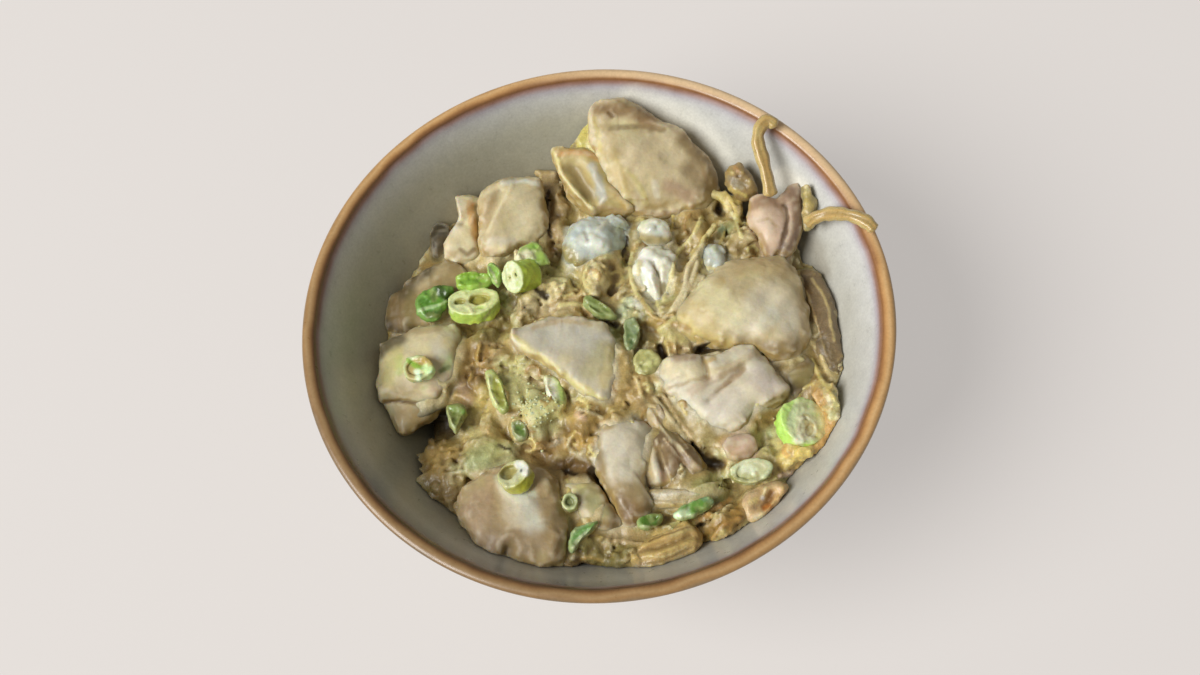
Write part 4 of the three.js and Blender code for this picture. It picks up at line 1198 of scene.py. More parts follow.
# Rings: the colours of the skin, the cut face and the hollow, and strokes
RING_LOOKS = {
    "onion_ring_big": ((188, 216, 98), (244, 250, 186), (176, 166, 82), [
        mark([(450, 298), (452, 310)], 0.9, (226, 234, 172), 0.8),
        mark([(474, 324), (486, 324), (501, 312)], 1.3, (226, 246, 104), 0.8),
        mark([(466, 294), (480, 292)], 0.7, (214, 222, 150), 0.7, 0.15),
        mark([(467, 302), (472, 312)], 0.5, (216, 212, 160), 0.8, 0.25),
        mark([(486, 300), (490, 310), (484, 318)], 0.4, (204, 208, 140), 0.6),
    ]),
    "onion_ring_upper": ((184, 206, 70), (236, 242, 210), (206, 210, 152), [
        mark([(522, 262), (534, 258), (544, 266)], 1.2, (204, 238, 104), 0.7),
        mark([(530, 274), (536, 282)], 1.6, (210, 230, 84), 0.8),
        mark([(528, 290), (538, 286)], 1.0, (164, 180, 64), 0.7),
        mark([(504, 268), (508, 286)], 0.3, (186, 196, 136), 0.6),
        mark([(516, 268), (519, 280)], 0.5, (204, 214, 150), 0.7),
    ]),
    "onion_ring_standing": ((184, 184, 72), (226, 230, 186), (172, 162, 96), [
        mark([(510, 473)], 2.0, (174, 162, 102), 0.9, -0.3),
        mark([(519, 465), (526, 470)], 1.6, (248, 250, 240), 0.95),
        mark([(519, 474), (515, 478)], 0.8, (222, 226, 188), 0.8),
        mark([(522, 471)], 0.42, (84, 94, 92), 0.9),
        mark([(502, 478), (506, 486)], 0.9, (210, 212, 168), 0.7),
        mark([(519, 488), (530, 481)], 1.4, (196, 196, 62), 0.8),
    ]),
    "onion_ring_small": ((186, 196, 132), (214, 226, 178), (116, 124, 72), []),
    "onion_ring_right": ((186, 232, 104), (230, 234, 180), (200, 184, 118), [
        mark([(797, 407), (791, 420), (793, 434), (800, 444)], 1.0, (220, 236, 174), 0.85),
        mark([(808, 428)], 2.6, (204, 186, 128), 0.9),
        mark([(790, 404), (783, 420), (784, 434), (792, 444)], 1.4, (204, 246, 126), 0.8),
        mark([(797, 404), (791, 418), (793, 434)], 0.8, (226, 240, 184), 0.85),
        mark([(801, 410), (798, 420), (800, 430)], 0.3, (180, 190, 138), 0.5),
        mark([(804, 421)], 0.7, (198, 188, 130), 0.7, -0.1),
        mark([(797, 440), (804, 434)], 1.3, (250, 252, 222), 0.95),
        mark([(799, 418), (804, 428), (801, 436)], 0.6, (236, 236, 190), 0.8, 0.2),
        mark([(797, 406), (808, 404), (818, 408)], 0.9, (196, 196, 140), 0.5),
        mark([(820, 406), (826, 422), (822, 438)], 2.0, (222, 198, 128), 0.85),
        mark([(808, 417), (815, 424), (813, 435), (804, 438), (799, 430), (801, 420), (808, 417)], 0.45,
             (240, 236, 196), 0.9, 0.2),
        mark([(809, 426), (811, 431), (807, 433)], 0.35, (226, 216, 166), 0.8),
    ]),
    "onion_ring_near_right": ((180, 186, 124), (228, 238, 198), (206, 206, 156), [
        mark([(738, 466), (752, 461), (766, 466)], 0.6, (216, 218, 182), 0.6, 0.1),
        mark([(733, 478), (742, 484)], 1.3, (160, 156, 90), 0.8),
        mark([(744, 468), (754, 470)], 1.3, (240, 248, 214), 0.7),
        mark([(746, 478), (754, 480)], 1.2, (196, 192, 134), 0.7),
        mark([(757, 472), (759, 480)], 0.6, (184, 168, 112), 0.6),
        mark([(744, 485), (762, 483)], 0.5, (214, 218, 168), 0.7, 0.1),
    ]),
    "onion_ring_left": ((206, 216, 150), (212, 224, 164), (196, 172, 104), [
        mark([(404, 358), (411, 357)], 0.6, (226, 234, 180), 0.85, 0.2),
        mark([(408, 360), (416, 366), (420, 368)], 0.8, (146, 188, 64), 0.9, 0.2),
        mark([(421, 360), (434, 362)], 1.2, (186, 160, 84), 0.9),
        mark([(410, 372), (412, 378)], 1.1, (196, 172, 104), 0.8),
        mark([(418, 372), (420, 382), (426, 386)], 0.9, (238, 255, 214), 0.95, 0.35),
        mark([(422, 376)], 0.5, (150, 176, 142), 0.8),
        mark([(426, 369), (437, 373), (432, 380)], 1.4, (222, 252, 186), 0.95, 0.3),
        mark([(432, 372)], 0.6, (224, 250, 208), 0.95, 0.3),
        mark([(426, 385), (436, 382)], 0.5, (176, 168, 104), 0.7),
    ]),
}

# Painted light and painted shadow on the glaze inside the bowl: lightened places where pieces and strands
# would cast shadows on the far wall, and a painted shadow beside the pink piece
WALL_PAINTED_LIGHT_AND_SHADOW = [
    mark([(634, 102), (664, 112), (696, 132), (716, 158)], 5, (232, 230, 218), 0.6),
    mark([(784, 176), (798, 188)], 3, (236, 232, 218), 0.6),
    mark([(810, 236), (818, 254), (824, 272)], 2.4, (146, 140, 126), 0.6),
]

# What the egg bed shows between the pieces: its own colours, painted shade in its clefts and gaps (the dark
# and brown strokes that sink the surface) and a few painted highlights
BED_MARKS_AND_PAINTED_LIGHT = [
    mark([(470, 345), (476, 372), (468, 392)], 5, "deep gold", 0.6),
    mark([(480, 335), (504, 326)], 3.5, "olive", 0.7),
    # Painted shade in the gap beside a piece
    mark([(549, 190), (551, 220), (554, 252)], 1.5, "brown", 0.9, -1.0),
    mark([(560, 206), (562, 226), (564, 250)], 1.6, "olive gold", 0.7),
    mark([(546, 270), (560, 256)], 1.6, "olive", 0.5, -0.6),
    mark([(546, 274), (556, 282)], 2.4, (226, 218, 146), 0.75, 0.3),
    mark([(500, 296), (508, 306)], 2.2, (200, 198, 126), 0.75),
    mark([(494, 257), (514, 257)], 2, (232, 218, 166), 0.8),
    mark([(670, 246), (678, 256)], 2, (216, 206, 170), 0.8),
    mark([(498, 464), (508, 450)], 2.6, (206, 204, 148), 0.75),
    mark([(516, 300), (530, 304)], 2.6, (134, 122, 66), 0.75),
    mark([(566, 466), (592, 470)], 3, (100, 78, 40), 0.85),
    mark([(566, 442), (586, 446)], 3, (146, 116, 62), 0.8),
    mark([(548, 566), (580, 572), (614, 568)], 3, (84, 68, 38), 0.7),
    mark([(546, 178), (556, 182)], 1.6, (208, 190, 138), 0.8),
    mark([(700, 510), (712, 498), (724, 490)], 2.2, (170, 172, 114), 0.7),
    mark([(682, 347), (698, 344)], 1.6, (208, 184, 134), 0.7),
    mark([(536, 290), (544, 296)], 0.8, "brown", 0.5, -0.4),
    mark([(530, 302), (548, 300)], 2.8, (226, 210, 154), 0.9, 0.4),
    mark([(556, 286), (566, 282)], 2.0, (232, 220, 166), 0.85, 0.7),
    mark([(520, 308), (545, 310), (572, 306)], 2.4, "warm meat", 0.6),
    mark([(558, 270), (575, 282)], 3, "pale yellow", 0.5),
    mark([(592, 272), (604, 284)], 2.2, "ivory", 0.6, 0.5),
    mark([(610, 268), (612, 290)], 2.2, "brown", 0.85, -1.0),
    mark([(628, 232), (624, 262)], 1.4, "olive", 0.8, -0.8),
    # Painted highlight
    mark([(628, 300), (640, 306)], 1.3, "white", 0.8, 0.6),
    mark([(660, 322), (686, 328)], 0.8, "deep gold", 0.9, -0.4),
    mark([(664, 334), (684, 340)], 1.6, "pale yellow", 0.7, 0.3),
    mark([(676, 240), (690, 234)], 1.4, "brown", 0.3, -0.4),
    mark([(688, 228), (700, 232)], 2.0, (190, 166, 108), 0.7),
    mark([(704, 238), (712, 226)], 2, "gold", 0.7),
    # Painted shade in a cleft
    mark([(718, 206), (722, 214)], 1.2, "dark", 0.7, -1.2),
    # Painted shade in a hole under the egg
    mark([(746, 204), (745, 216)], 1.1, "dark", 0.95, -2.4),
    mark([(724, 232), (730, 226)], 1.6, "pale green", 0.6),
    mark([(734, 248), (746, 250)], 2.6, (150, 128, 78), 0.8),
    mark([(738, 236), (752, 238)], 2.0, (196, 176, 124), 0.8, 0.4),
    mark([(618, 340), (622, 372), (612, 400)], 2, "gold", 0.7),
    mark([(640, 380), (632, 398)], 3.4, (176, 146, 84), 0.8),
    mark([(628, 400), (618, 416)], 3, "gold", 0.6),
    # Painted shade in the gap under a piece
    mark([(700, 350), (722, 345), (738, 346)], 0.9, "dark", 0.98, -2.2),
    mark([(660, 348), (664, 356)], 1.2, "brown", 0.9, -1.2),
    mark([(520, 372), (536, 386)], 2.6, "warm meat", 0.5),
    mark([(516, 392), (534, 404), (548, 420)], 5.2, (208, 207, 146), 0.85, 0.6),
    mark([(560, 402), (566, 418)], 2.8, (246, 240, 172), 0.85, 0.4),
    mark([(572, 430), (586, 432), (600, 430)], 4.4, (150, 124, 74), 0.8),
    mark([(464, 382), (476, 376)], 2.6, (138, 110, 62), 0.9),
    mark([(592, 552), (608, 548)], 2.4, (176, 148, 96), 0.8),
    mark([(546, 286), (556, 290)], 2.0, (224, 208, 152), 0.8),
    mark([(600, 270), (606, 284)], 2.4, (216, 198, 138), 0.85),
    mark([(630, 390), (650, 404)], 3.4, (190, 160, 96), 0.7),
    mark([(636, 378), (642, 396), (654, 412)], 0.5, (224, 208, 150), 0.7, 0.3),
    mark([(646, 376), (652, 392), (664, 410)], 0.5, (214, 192, 130), 0.7, 0.3),
    mark([(548, 448), (562, 444)], 2.4, (168, 146, 108), 0.6),
    mark([(590, 280), (598, 278)], 2.2, (238, 222, 158), 0.8),
    mark([(444, 444), (456, 456)], 3, (128, 106, 62), 0.8),
    mark([(708, 502), (720, 500)], 1.4, (124, 132, 84), 0.8),
    mark([(518, 364), (506, 376)], 3.2, (204, 202, 136), 0.75),
    mark([(486, 392), (480, 412)], 2.6, "yellow", 0.6),
    mark([(462, 388), (470, 400)], 1.6, "pink", 0.35),
    mark([(575, 412), (592, 430), (566, 446)], 4, "gold", 0.75),
    mark([(578, 414), (584, 418)], 1.2, "pink", 0.6),
    mark([(548, 448), (530, 454)], 3, "deep gold", 0.7),
    mark([(544, 464), (575, 466), (588, 470)], 2.0, "brown", 0.75, -0.6),
    mark([(575, 430), (600, 430)], 2.6, (158, 132, 80), 0.85),
    # Painted highlight
    mark([(553, 444), (560, 440)], 1.0, (198, 184, 152), 0.8, 0.5),
    # Painted shade in the gap between pieces
    mark([(598, 476), (610, 500), (618, 520)], 1.4, "dark", 0.95, -2.4),
    mark([(568, 484), (566, 478)], 1.2, "brown", 0.8, -1.0),
    # Painted shade in the deep gap by the wall
    mark([(404, 440), (424, 430), (444, 420)], 3.0, "dark", 0.97, -3.0),
    mark([(430, 444), (450, 452)], 2.8, "gold", 0.7),
    mark([(430, 464), (440, 490), (454, 500)], 4.2, (138, 114, 68), 0.85),
    mark([(432, 448), (436, 470)], 2.6, (178, 148, 84), 0.7),
    mark([(420, 484), (430, 490)], 1.4, "olive", 0.5),
    mark([(474, 458), (492, 450)], 3.2, "green egg", 0.85),
    mark([(470, 464), (484, 462)], 2, "pale green", 0.5),
    mark([(470, 430), (480, 440)], 2, "pale yellow", 0.5),
    mark([(690, 446), (700, 460), (716, 466)], 2.2, "brown", 0.9, -1.6),
    mark([(764, 442), (780, 452)], 2.6, "pale yellow", 0.8),
    mark([(770, 432), (782, 426)], 1.6, "pale green", 0.6),
    mark([(812, 450), (798, 452), (784, 460)], 2.8, (232, 210, 126), 0.9),
    mark([(832, 430), (822, 446)], 1.6, (206, 172, 100), 0.8),
    mark([(800, 478), (808, 468)], 2, "brown meat", 0.8),
    mark([(786, 476), (800, 474)], 0.7, "pink", 0.7, 0.4),
    mark([(712, 536), (726, 526), (740, 512)], 3.4, (156, 122, 58), 0.95),
    mark([(722, 532), (712, 540)], 1.4, "pale yellow", 0.6),
    mark([(706, 522), (696, 528)], 2, "brown meat", 0.7),
    mark([(700, 486), (724, 478)], 2.4, "green egg", 0.7),
    mark([(588, 548), (604, 560), (624, 548)], 4, "olive", 0.8),
    mark([(612, 534), (640, 538)], 2.4, "tan meat", 0.7),
    mark([(590, 568), (578, 560)], 1.8, "brown", 0.8),
    mark([(830, 388), (836, 406)], 1.4, "pale yellow", 0.8),
    mark([(826, 396), (830, 404)], 0.8, "cream", 0.8, 0.3),
    mark([(718, 211)], 1.1, (92, 78, 74), 0.9, -0.5),
    mark([(722, 229)], 1.3, (184, 204, 160), 0.85, 0.3),
    mark([(736, 208), (742, 214)], 1.0, (208, 188, 136), 0.8, 0.6),
    mark([(628, 302), (622, 314)], 2.0, (196, 206, 160), 0.8, 0.4),
    mark([(641, 315)], 1.0, (230, 228, 206), 0.8, 0.5),
    mark([(616, 330), (612, 350)], 2.0, (150, 160, 96), 0.7),
    mark([(546, 458), (520, 452)], 2.2, (150, 122, 72), 0.6),
]

# Threads of egg: pixels along each, its radius in millimetres and its colour
THREADS = [
    ([(702, 218), (692, 236), (676, 256), (672, 276), (664, 300)], 0.6, "pale yellow"),
    ([(712, 230), (700, 250), (688, 268), (684, 290), (672, 310)], 0.7, "cream"),
    ([(640, 240), (631, 258), (632, 282), (642, 300), (652, 312)], 0.6, "pale yellow"),
    ([(698, 262), (690, 285), (680, 305), (664, 318)], 0.6, "cream"),
    ([(690, 300), (676, 318), (660, 330)], 0.8, "pale yellow"),
    ([(716, 176), (735, 190), (752, 200)], 0.5, "yellow"),
    ([(718, 184), (732, 202), (740, 224)], 0.6, "yellow"),
    ([(720, 198), (734, 216), (742, 238)], 0.5, "pale yellow"),
    ([(808, 340), (820, 352), (828, 372), (838, 384)], 0.7, "strand edge"),
    ([(812, 360), (822, 380), (834, 398)], 0.6, "yellow"),
    ([(655, 398), (672, 420), (690, 446)], 0.6, "warm meat"),
    ([(664, 396), (682, 424), (700, 448)], 0.5, "tan meat"),
    ([(588, 268), (584, 280), (592, 296)], 0.7, "pale yellow"),
    ([(546, 262), (560, 268), (575, 282), (588, 292)], 0.5, "olive"),
    ([(480, 345), (476, 365), (470, 380)], 0.5, "gold"),
    ([(500, 350), (486, 362), (468, 368)], 0.6, "tan meat"),
    ([(642, 300), (650, 314), (666, 322), (688, 326)], 0.5, "gold"),
    ([(560, 306), (576, 304), (592, 310)], 0.6, "pale yellow"),
    ([(700, 520), (716, 508), (730, 500)], 0.6, "orange gold"),
    ([(712, 540), (722, 526), (740, 518)], 0.7, "deep gold"),
    ([(780, 476), (796, 472), (806, 478)], 0.6, "pink"),
    ([(560, 562), (580, 570), (600, 572)], 0.7, "brown meat"),
    ([(616, 540), (640, 544), (660, 540)], 0.6, "tan meat"),
]

# Clefts in the egg, carved and painted dark as shade: pixels along each and its radius in millimetres
CLEFTS_WITH_PAINTED_SHADE = [
    ([(547, 192), (548, 214), (549, 236)], 0.5),
    ([(592, 470), (604, 494), (614, 520)], 1.1),
    ([(698, 351), (716, 346), (740, 347)], 1.5),
    ([(745, 207), (747, 216)], 0.4),
    ([(404, 440), (426, 431), (446, 424)], 4.2),
    ([(692, 448), (706, 460), (720, 464)], 1.2),
    ([(536, 290), (546, 296)], 0.7),
    ([(660, 346), (664, 356)], 0.9),
    ([(717, 209), (720, 212)], 0.5),
    ([(626, 236), (624, 256)], 0.5),
    ([(566, 470), (574, 474)], 0.7),
    ([(500, 444), (508, 448)], 0.5),
    ([(640, 508), (650, 510)], 0.7),
    ([(694, 527), (704, 524)], 0.6),
    ([(580, 330), (604, 322), (616, 326)], 0.7),
]


# Meshes


def finished(name, vertices, faces, tint, material, node=None, shade=FOOD_SHADE):
    """A piece made of vertices in millimetres and faces of one size, with its colours in the tint layer."""
    mesh = bpy.data.meshes.new(name)
    mesh.vertices.add(len(vertices))
    mesh.vertices.foreach_set("co", (vertices * MM).astype(np.float32).ravel())
    mesh.loops.add(faces.size)
    mesh.loops.foreach_set("vertex_index", faces.astype(np.int32).ravel())
    mesh.polygons.add(len(faces))
    mesh.polygons.foreach_set("loop_start", np.arange(0, faces.size, faces.shape[1], dtype=np.int32))
    mesh.update(calc_edges=True)
    mesh.shade_smooth()
    layer = mesh.color_attributes.new("tint", "FLOAT_COLOR", "POINT")
    colours = np.ones((len(vertices), 4), np.float32)
    colours[:, :3] = np.clip(tint * shade, 0, 1)
    layer.data.foreach_set("color", colours.ravel())
    mesh.materials.append(material)
    piece = bpy.data.objects.new(name, mesh)
    bpy.context.scene.collection.objects.link(piece)
    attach(piece, "root")
    if node:
        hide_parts(node)
    return piece


def tube_faces(rings, sides):
    """The quads of a tube whose vertices lie in rings, each with some sides."""
    rows, columns = np.meshgrid(np.arange(rings - 1), np.arange(sides), indexing="ij")
    start, following = rows * sides + columns, rows * sides + (columns + 1) % sides
    return np.stack([start, following, following + sides, start + sides], -1).reshape(-1, 4)


def thinned(vertices, faces, hidden, cell):
    """The surface as triangles, with its hidden vertices gathered on a coarse lattice. A row of vertices
    holds a place and a colour."""
    target = np.arange(len(vertices))
    corner = np.floor((vertices[hidden] - vertices.min(0))[:, :3] / cell).astype(np.int64)
    _, group = np.unique(corner @ (1, 1000, 1000000), return_inverse=True)
    target[hidden] = len(vertices) + group
    _, target = np.unique(target, return_inverse=True)
    share = np.bincount(target)[:, None]
    gathered = np.stack([np.bincount(target, column) for column in vertices.T], 1) / share
    faces = target[np.concatenate([faces[:, [0, 1, 2]], faces[:, [0, 2, 3]]])]
    a, b, c = faces.T
    return gathered, faces[(a != b) & (b != c) & (c != a)]


# Paint

PIXELS_PER_MM = 3.5
EGG_COAT = (186, 158, 96)


def plain(vertices, colour):
    """One colour for all vertices."""
    return np.tile(linear(colour), (len(vertices), 1))


def lay(tint, near, colour, share):
    """Lays a colour over some of the vertices."""
    tint[near] += (linear(colour) - tint[near]) * share[:, None]


def to_pixels(points):
    """Where the photograph's view sees points."""
    away = points - np.array(view_eye)
    depth = -(away @ np.array(view_back)) / VIEW_FOCAL_PIXELS
    across, rise = away @ np.array(view_right), away @ np.array(view_up)
    return np.stack([PHOTO_WIDTH / 2 + across / depth, PHOTO_HEIGHT / 2 - rise / depth], -1)


def near_stroke(pixels, stroke):
    """The places within reach of a stroke, and how far each is from it, in its own half widths."""
    path = stroke["path"] if len(stroke["path"]) == 1 else open_curve(stroke["path"], 4)
    reach = 2.3 * stroke["width"] * PIXELS_PER_MM
    near = within(pixels, box_round(path, reach))
    return near, to_path(pixels[near], path) / (stroke["width"] * PIXELS_PER_MM)


def wobbled(points, seed, amount=0.35):
    """Where points are seen, shifted a little by noise so that strokes get uneven edges."""
    shift = np.stack([rough(points, 2.6, seed + k, 2) for k in (1, 2)], 1)
    return to_pixels(points) + shift * amount * PIXELS_PER_MM


def stroke_relief(points, strokes):
    """How far strokes raise the surface."""
    pixels = to_pixels(points)
    relief = np.zeros(len(points))
    for stroke in strokes:
        if stroke["lift"]:
            near, away = near_stroke(pixels, stroke)
            relief[near] += stroke["lift"] * np.exp(-(away**2))
    return relief


def stroked(tint, points, strokes, seed):
    """The colours with strokes laid over them."""
    pixels = wobbled(points, seed)
    for stroke in strokes:
        near, away = near_stroke(pixels, stroke)
        lay(tint, near, stroke["colour"], stroke["strength"] * (1 - eased(away, 0.35, 1.45)))
    return tint


def mixed(tint, colour, share):
    """The colours with a share of another one."""
    return tint + (linear(colour) - tint) * np.clip(share, 0, 1)[:, None]


def mottled(tint, points, seed, amount=0.1):
    """Uneven lightness and warmth over several millimetres."""
    light = 1 + amount * rough(points, 5, seed, 3)
    warm = amount * 0.6 * rough(points, 7, seed + 3, 2)
    return tint * light[:, None] * (1 + warm[:, None] * np.array((0.3, 0.0, -0.9)))


def ring_relief(points):
    """The uneven surface of spring onion."""
    return 0.35 * noise(points, 3, 7) + 0.2 * noise(points, 1.3, 8) + 0.08 * noise(points, 0.6, 9)


# Rings of spring onion

class Ring:
    """A cut ring in axes of its own, whose z runs along the stalk."""

    def __init__(self, pixel, height, outer, length, turn, squeeze, holes, depth=9):
        self.outer, self.half, self.squeeze, self.holes, self.depth = outer, length / 2, squeeze, holes, depth
        self.centre = on_plane([pixel], height)[0]
        self.axes = np.array(Euler([math.radians(angle) for angle in turn], "XYZ").to_matrix())

    def box(self, margin):
        """A box round the ring."""
        reach = self.outer + self.half + margin
        return self.centre - reach, self.centre + reach

    def local(self, points):
        """Points in the ring's own axes."""
        x, y, z = np.moveaxis((points - self.centre) @ self.axes, -1, 0)
        return x, y / self.squeeze, z

    def edges(self, points):
        """How far points lie outside the round side, inside a hole, and beyond a cut end."""
        x, y, z = self.local(points)
        turn = np.arctan2(y, x)
        uneven = 1 + 0.025 * np.sin(2 * turn + self.outer) + 0.02 * np.sin(3 * turn)
        side = np.hypot(x, y) - self.outer * uneven
        hole = np.max([radius - np.hypot(x - dx, y - dy) for dx, dy, radius in self.holes], 0)
        hole = np.minimum(hole, z - self.half + self.depth)
        return side * self.squeeze**0.5, hole * self.squeeze**0.5, np.abs(z) - self.half

    def solid(self, points):
        """The distance to the ring's lower part, as if it had no hole."""
        side, _, end = self.edges(points)
        return np.maximum(np.maximum(side, end), self.local(points)[2] + 0.2 * self.half)

    def distance(self, points):
        """The distance to the ring, with round edges and slightly hollow cut ends."""
        side, hole, end = self.edges(points)
        hollow = 0.25 * np.exp(-(((side + 0.4 * self.outer) / (0.3 * self.outer)) ** 2))
        side, end = np.maximum(side, hole) + 0.45, end + 0.45 + hollow
        outside = np.hypot(np.maximum(side, 0), np.maximum(end, 0))
        return outside + np.minimum(np.maximum(side, end), 0) - 0.45

    def mesh(self, strokes):
        field = Field(*self.box(1.5), SMALL_STEP)
        field.join(self.distance, field.whole(), 0.1)
        field.roughen(lambda points: ring_relief(points) + stroke_relief(points, strokes), 1.5)
        clear_wall(field)
        return field.mesh()

    def tint(self, vertices, faces, skin, face, inside, strokes):
        """The colours of the skin, the layered cut face and the hollow, with strokes over them, and painted
        shade in the dips.
        """
        skin, face, inside = linear(skin), linear(face), linear(inside)
        side, hole, end = self.edges(vertices)
        layers = 0.5 + 0.5 * np.sin(5.2 * side + 1.2 * noise(vertices, 2, 9))
        cut = eased(end, -0.75, -0.2)
        tint = skin * (1 - cut[:, None]) + face * cut[:, None]
        tint = tint + (skin - tint) * (0.4 * cut * eased(side, -0.8, -0.2))[:, None]
        tint = tint + (skin - tint) * (0.3 * cut * layers * eased(side, -3.2, -0.8))[:, None]
        wall = eased(hole, -0.9, -0.1)[:, None]
        tint = tint + (inside - tint) * 0.9 * wall
        tint = stroked(tint, vertices, strokes, 17)
        tint = mottled(tint, vertices, 13, 0.09)
        # Painted shade: darker green in the dips
        return mixed(tint, (96, 112, 52), 0.25 * eased(hollowness(vertices, faces, 4), 0.05, 0.3))


rings = {node: Ring(**shape) for node, shape in RINGS.items()}


# Egg bed

def wall_height(r):
    """The height of the bowl's inner side at a radius."""
    return FLOOR_HEIGHT + (RIM_HEIGHT - FLOOR_HEIGHT) * (np.abs(r) / INNER_RADIUS) ** (1 / BOWL_CURVE)


def wall_slope(r):
    return (wall_height(r + 0.1) - wall_height(r - 0.1)) / 0.2


swells = [(on_plane([pixel], 46)[0], width, height) for pixel, width, height in SWELLS]


def bed_height(x, y):
    """The height of the egg between the pieces."""
    level = LEVEL_AT_WALL + LEVEL_TILT[0] * x + LEVEL_TILT[1] * y
    crown = BED_CROWN * np.maximum(0, 1 - (x**2 + y**2) / BED_CROWN_RADIUS**2)
    ripple = np.sin(0.31 * x + 1.3) * np.cos(0.27 * y + 0.4) + 0.7 * np.sin(0.47 * x - 0.38 * y + 2.2)
    swell = sum(
        height * np.exp(-((x - at[0]) ** 2 + (y - at[1]) ** 2) / width**2) for at, width, height in swells
    )
    return level + crown + BED_RIPPLE * ripple + swell


def fillet(lobe):
    """The egg that clings round a piece: its own form, grown at the foot and shrunk higher up."""
    def distance(points):
        x, y, z = np.moveaxis(points, -1, 0)
        above = z - bed_height(x, y) + 2 * noise(points, 6, 3)
        grown = 1.5 + 0.9 * noise(points, 5, 12) + 0.4 * noise(points, 2.2, 9)
        return lobe.distance(points) + 4.8 * eased(above, 0.8, 6) - grown
    return distance


def over(lobe):
    """The space over a bit of leaf, as a distance."""
    def distance(points):
        side = (lobe.outward(points) - 0.92) * lobe.radii.mean()
        return np.maximum(side, lobe.centre[2] + 0.2 - points[..., 2])
    return distance


def dropped(field, pixels):
    """The points where the rays of pixels meet the surface of a field."""
    pixels = np.asarray(pixels, float)
    heights = np.arange(field.axes[2][-1] - 1, field.axes[2][0] + 4, -0.2)
    top, base = on_plane(pixels, heights[0]), on_plane(pixels, heights[-1])
    share = (np.arange(len(heights)) / (len(heights) - 1))[:, None, None]
    rays = top + (base - top) * share
    cells = np.round((rays - field.low) / field.step).astype(int)
    cells = np.clip(cells, 0, np.array(field.values.shape) - 1)
    solid = field.values[tuple(np.moveaxis(cells, -1, 0))] < 0
    solid[-1] = True
    return rays[np.argmax(solid, axis=0), np.arange(len(pixels))]


def lap_path(pixels, heights):
    """Points seen at pixels, whose heights go evenly from the first value to the second."""
    pixels = open_curve(pixels, 4)
    rise = np.linspace(*heights, len(pixels))
    return np.concatenate([on_plane([pixel], height) for pixel, height in zip(pixels, rise)])


def thread(path, radius):
    """A round thread along points, as a distance."""
    return lambda points: to_path(points, path) - radius


def lap(path, radius):
    """Thick egg along points, as a distance."""
    return lambda points: to_path(points, path) - radius - 0.5 * noise(points, 2.6, 15)


def clinging(shape, inset, uneven, seed):
    """Egg that rises round a small piece: the piece's form, shrunk and made uneven, as a distance."""
    return lambda points: shape(points) + inset + uneven * noise(points, 3, seed)


def small_curd(centre, along, size, flat):
    """A rounded bit of egg, flattened and longer one way, as a distance."""
    def distance(points):
        away = points - centre
        lengthwise = away @ along
        away = away - lengthwise[..., None] * along * 0.45
        away[..., 2] /= flat
        return (np.sqrt((away**2).sum(-1)) - size) * flat
    return distance


def crumb(at, size, stretch):
    """An uneven crumb of egg, as a distance."""
    def distance(points):
        lump = np.sqrt((((points - at) / stretch) ** 2).sum(-1)) - size
        return lump + 0.45 * noise(points, 1.1, 16)
    return distance


def foam_share(points):
    """1 in the middle of the foam and 0 far from it."""
    centre, spread, _ = FOAM
    away = (to_pixels(points) - centre) / (np.array(spread) * 1.3)
    return np.exp(-(away**2).sum(-1))


def bed_relief(points):
    """Grains, folds and wrinkles of soft egg: grainy in some places and like crumpled sheets in others."""
    drift = np.stack([noise(points, 6, 40 + k) for k in range(3)], -1)
    folded = points + 2.2 * drift
    grainy = eased(noise(points, 13, 90), -0.5, 0.3)
    ridge = 0.5 - np.abs(noise(folded, 4.6, 51))
    fine = 0.5 - np.abs(noise(folded, 1.9, 57))
    lumps = 1.1 * (0.6 - to_nearest_seed(folded, 3.3, 5)) + 0.55 * (0.6 - to_nearest_seed(folded, 1.6, 6))
    relief = 0.7 * rough(points, 7, 44, 2) + lumps * (0.4 + 0.75 * grainy)
    relief = relief + (0.9 * ridge + 0.45 * fine) * (1 - 0.7 * grainy)
    calm = 0.55 + 0.35 * eased(noise(points, 11, 93), -0.6, 0.6)
    return relief * calm * (1 - 0.75 * foam_share(points)) + 0.14 * noise(points, 0.9, 61)


def bare_bed():
    """The egg up to its level, inside the wall of the bowl."""
    field = Field(*BED_BOX, BED_STEP)
    x, y = np.meshgrid(field.axes[0], field.axes[1], indexing="ij")
    z = field.axes[2][None, None]
    level = bed_height(x, y)
    steep = np.sqrt(1 + sum(g**2 for g in np.gradient(level, BED_STEP)))
    r = np.hypot(x, y)
    above = (z - level[..., None]) / steep[..., None]
    flat = np.stack([x, y, 0 * x], -1)
    recess = np.maximum(0, 1.2 + 2.2 * rough(flat, 6, 17, 3))
    below = (wall_height(r)[..., None] + GAP - z) / np.sqrt(1 + wall_slope(r) ** 2)[..., None]
    field.values = np.maximum(above, below + recess[..., None]).astype(np.float32)
    return field


def add_small_curds(field):
    """Scatters bits of egg over the bed, away from the wall."""
    random = np.random.default_rng(5)
    for _ in range(SMALL_CURDS):
        at = random.uniform(-64, 64, 2)
        size = random.uniform(1.1, 2.9)
        turn = random.uniform(0, math.pi)
        flat = random.uniform(0.5, 0.95)
        height = bed_height(*at) + random.uniform(-0.3, 0.5) * size
        if wall_height(math.hypot(*at)) > height - 2:
            continue
        centre = np.array((*at, height))
        along = np.array((math.cos(turn), math.sin(turn), 0))
        field.join(small_curd(centre, along, size, flat), (centre - size * 2, centre + size * 2), 0.9)


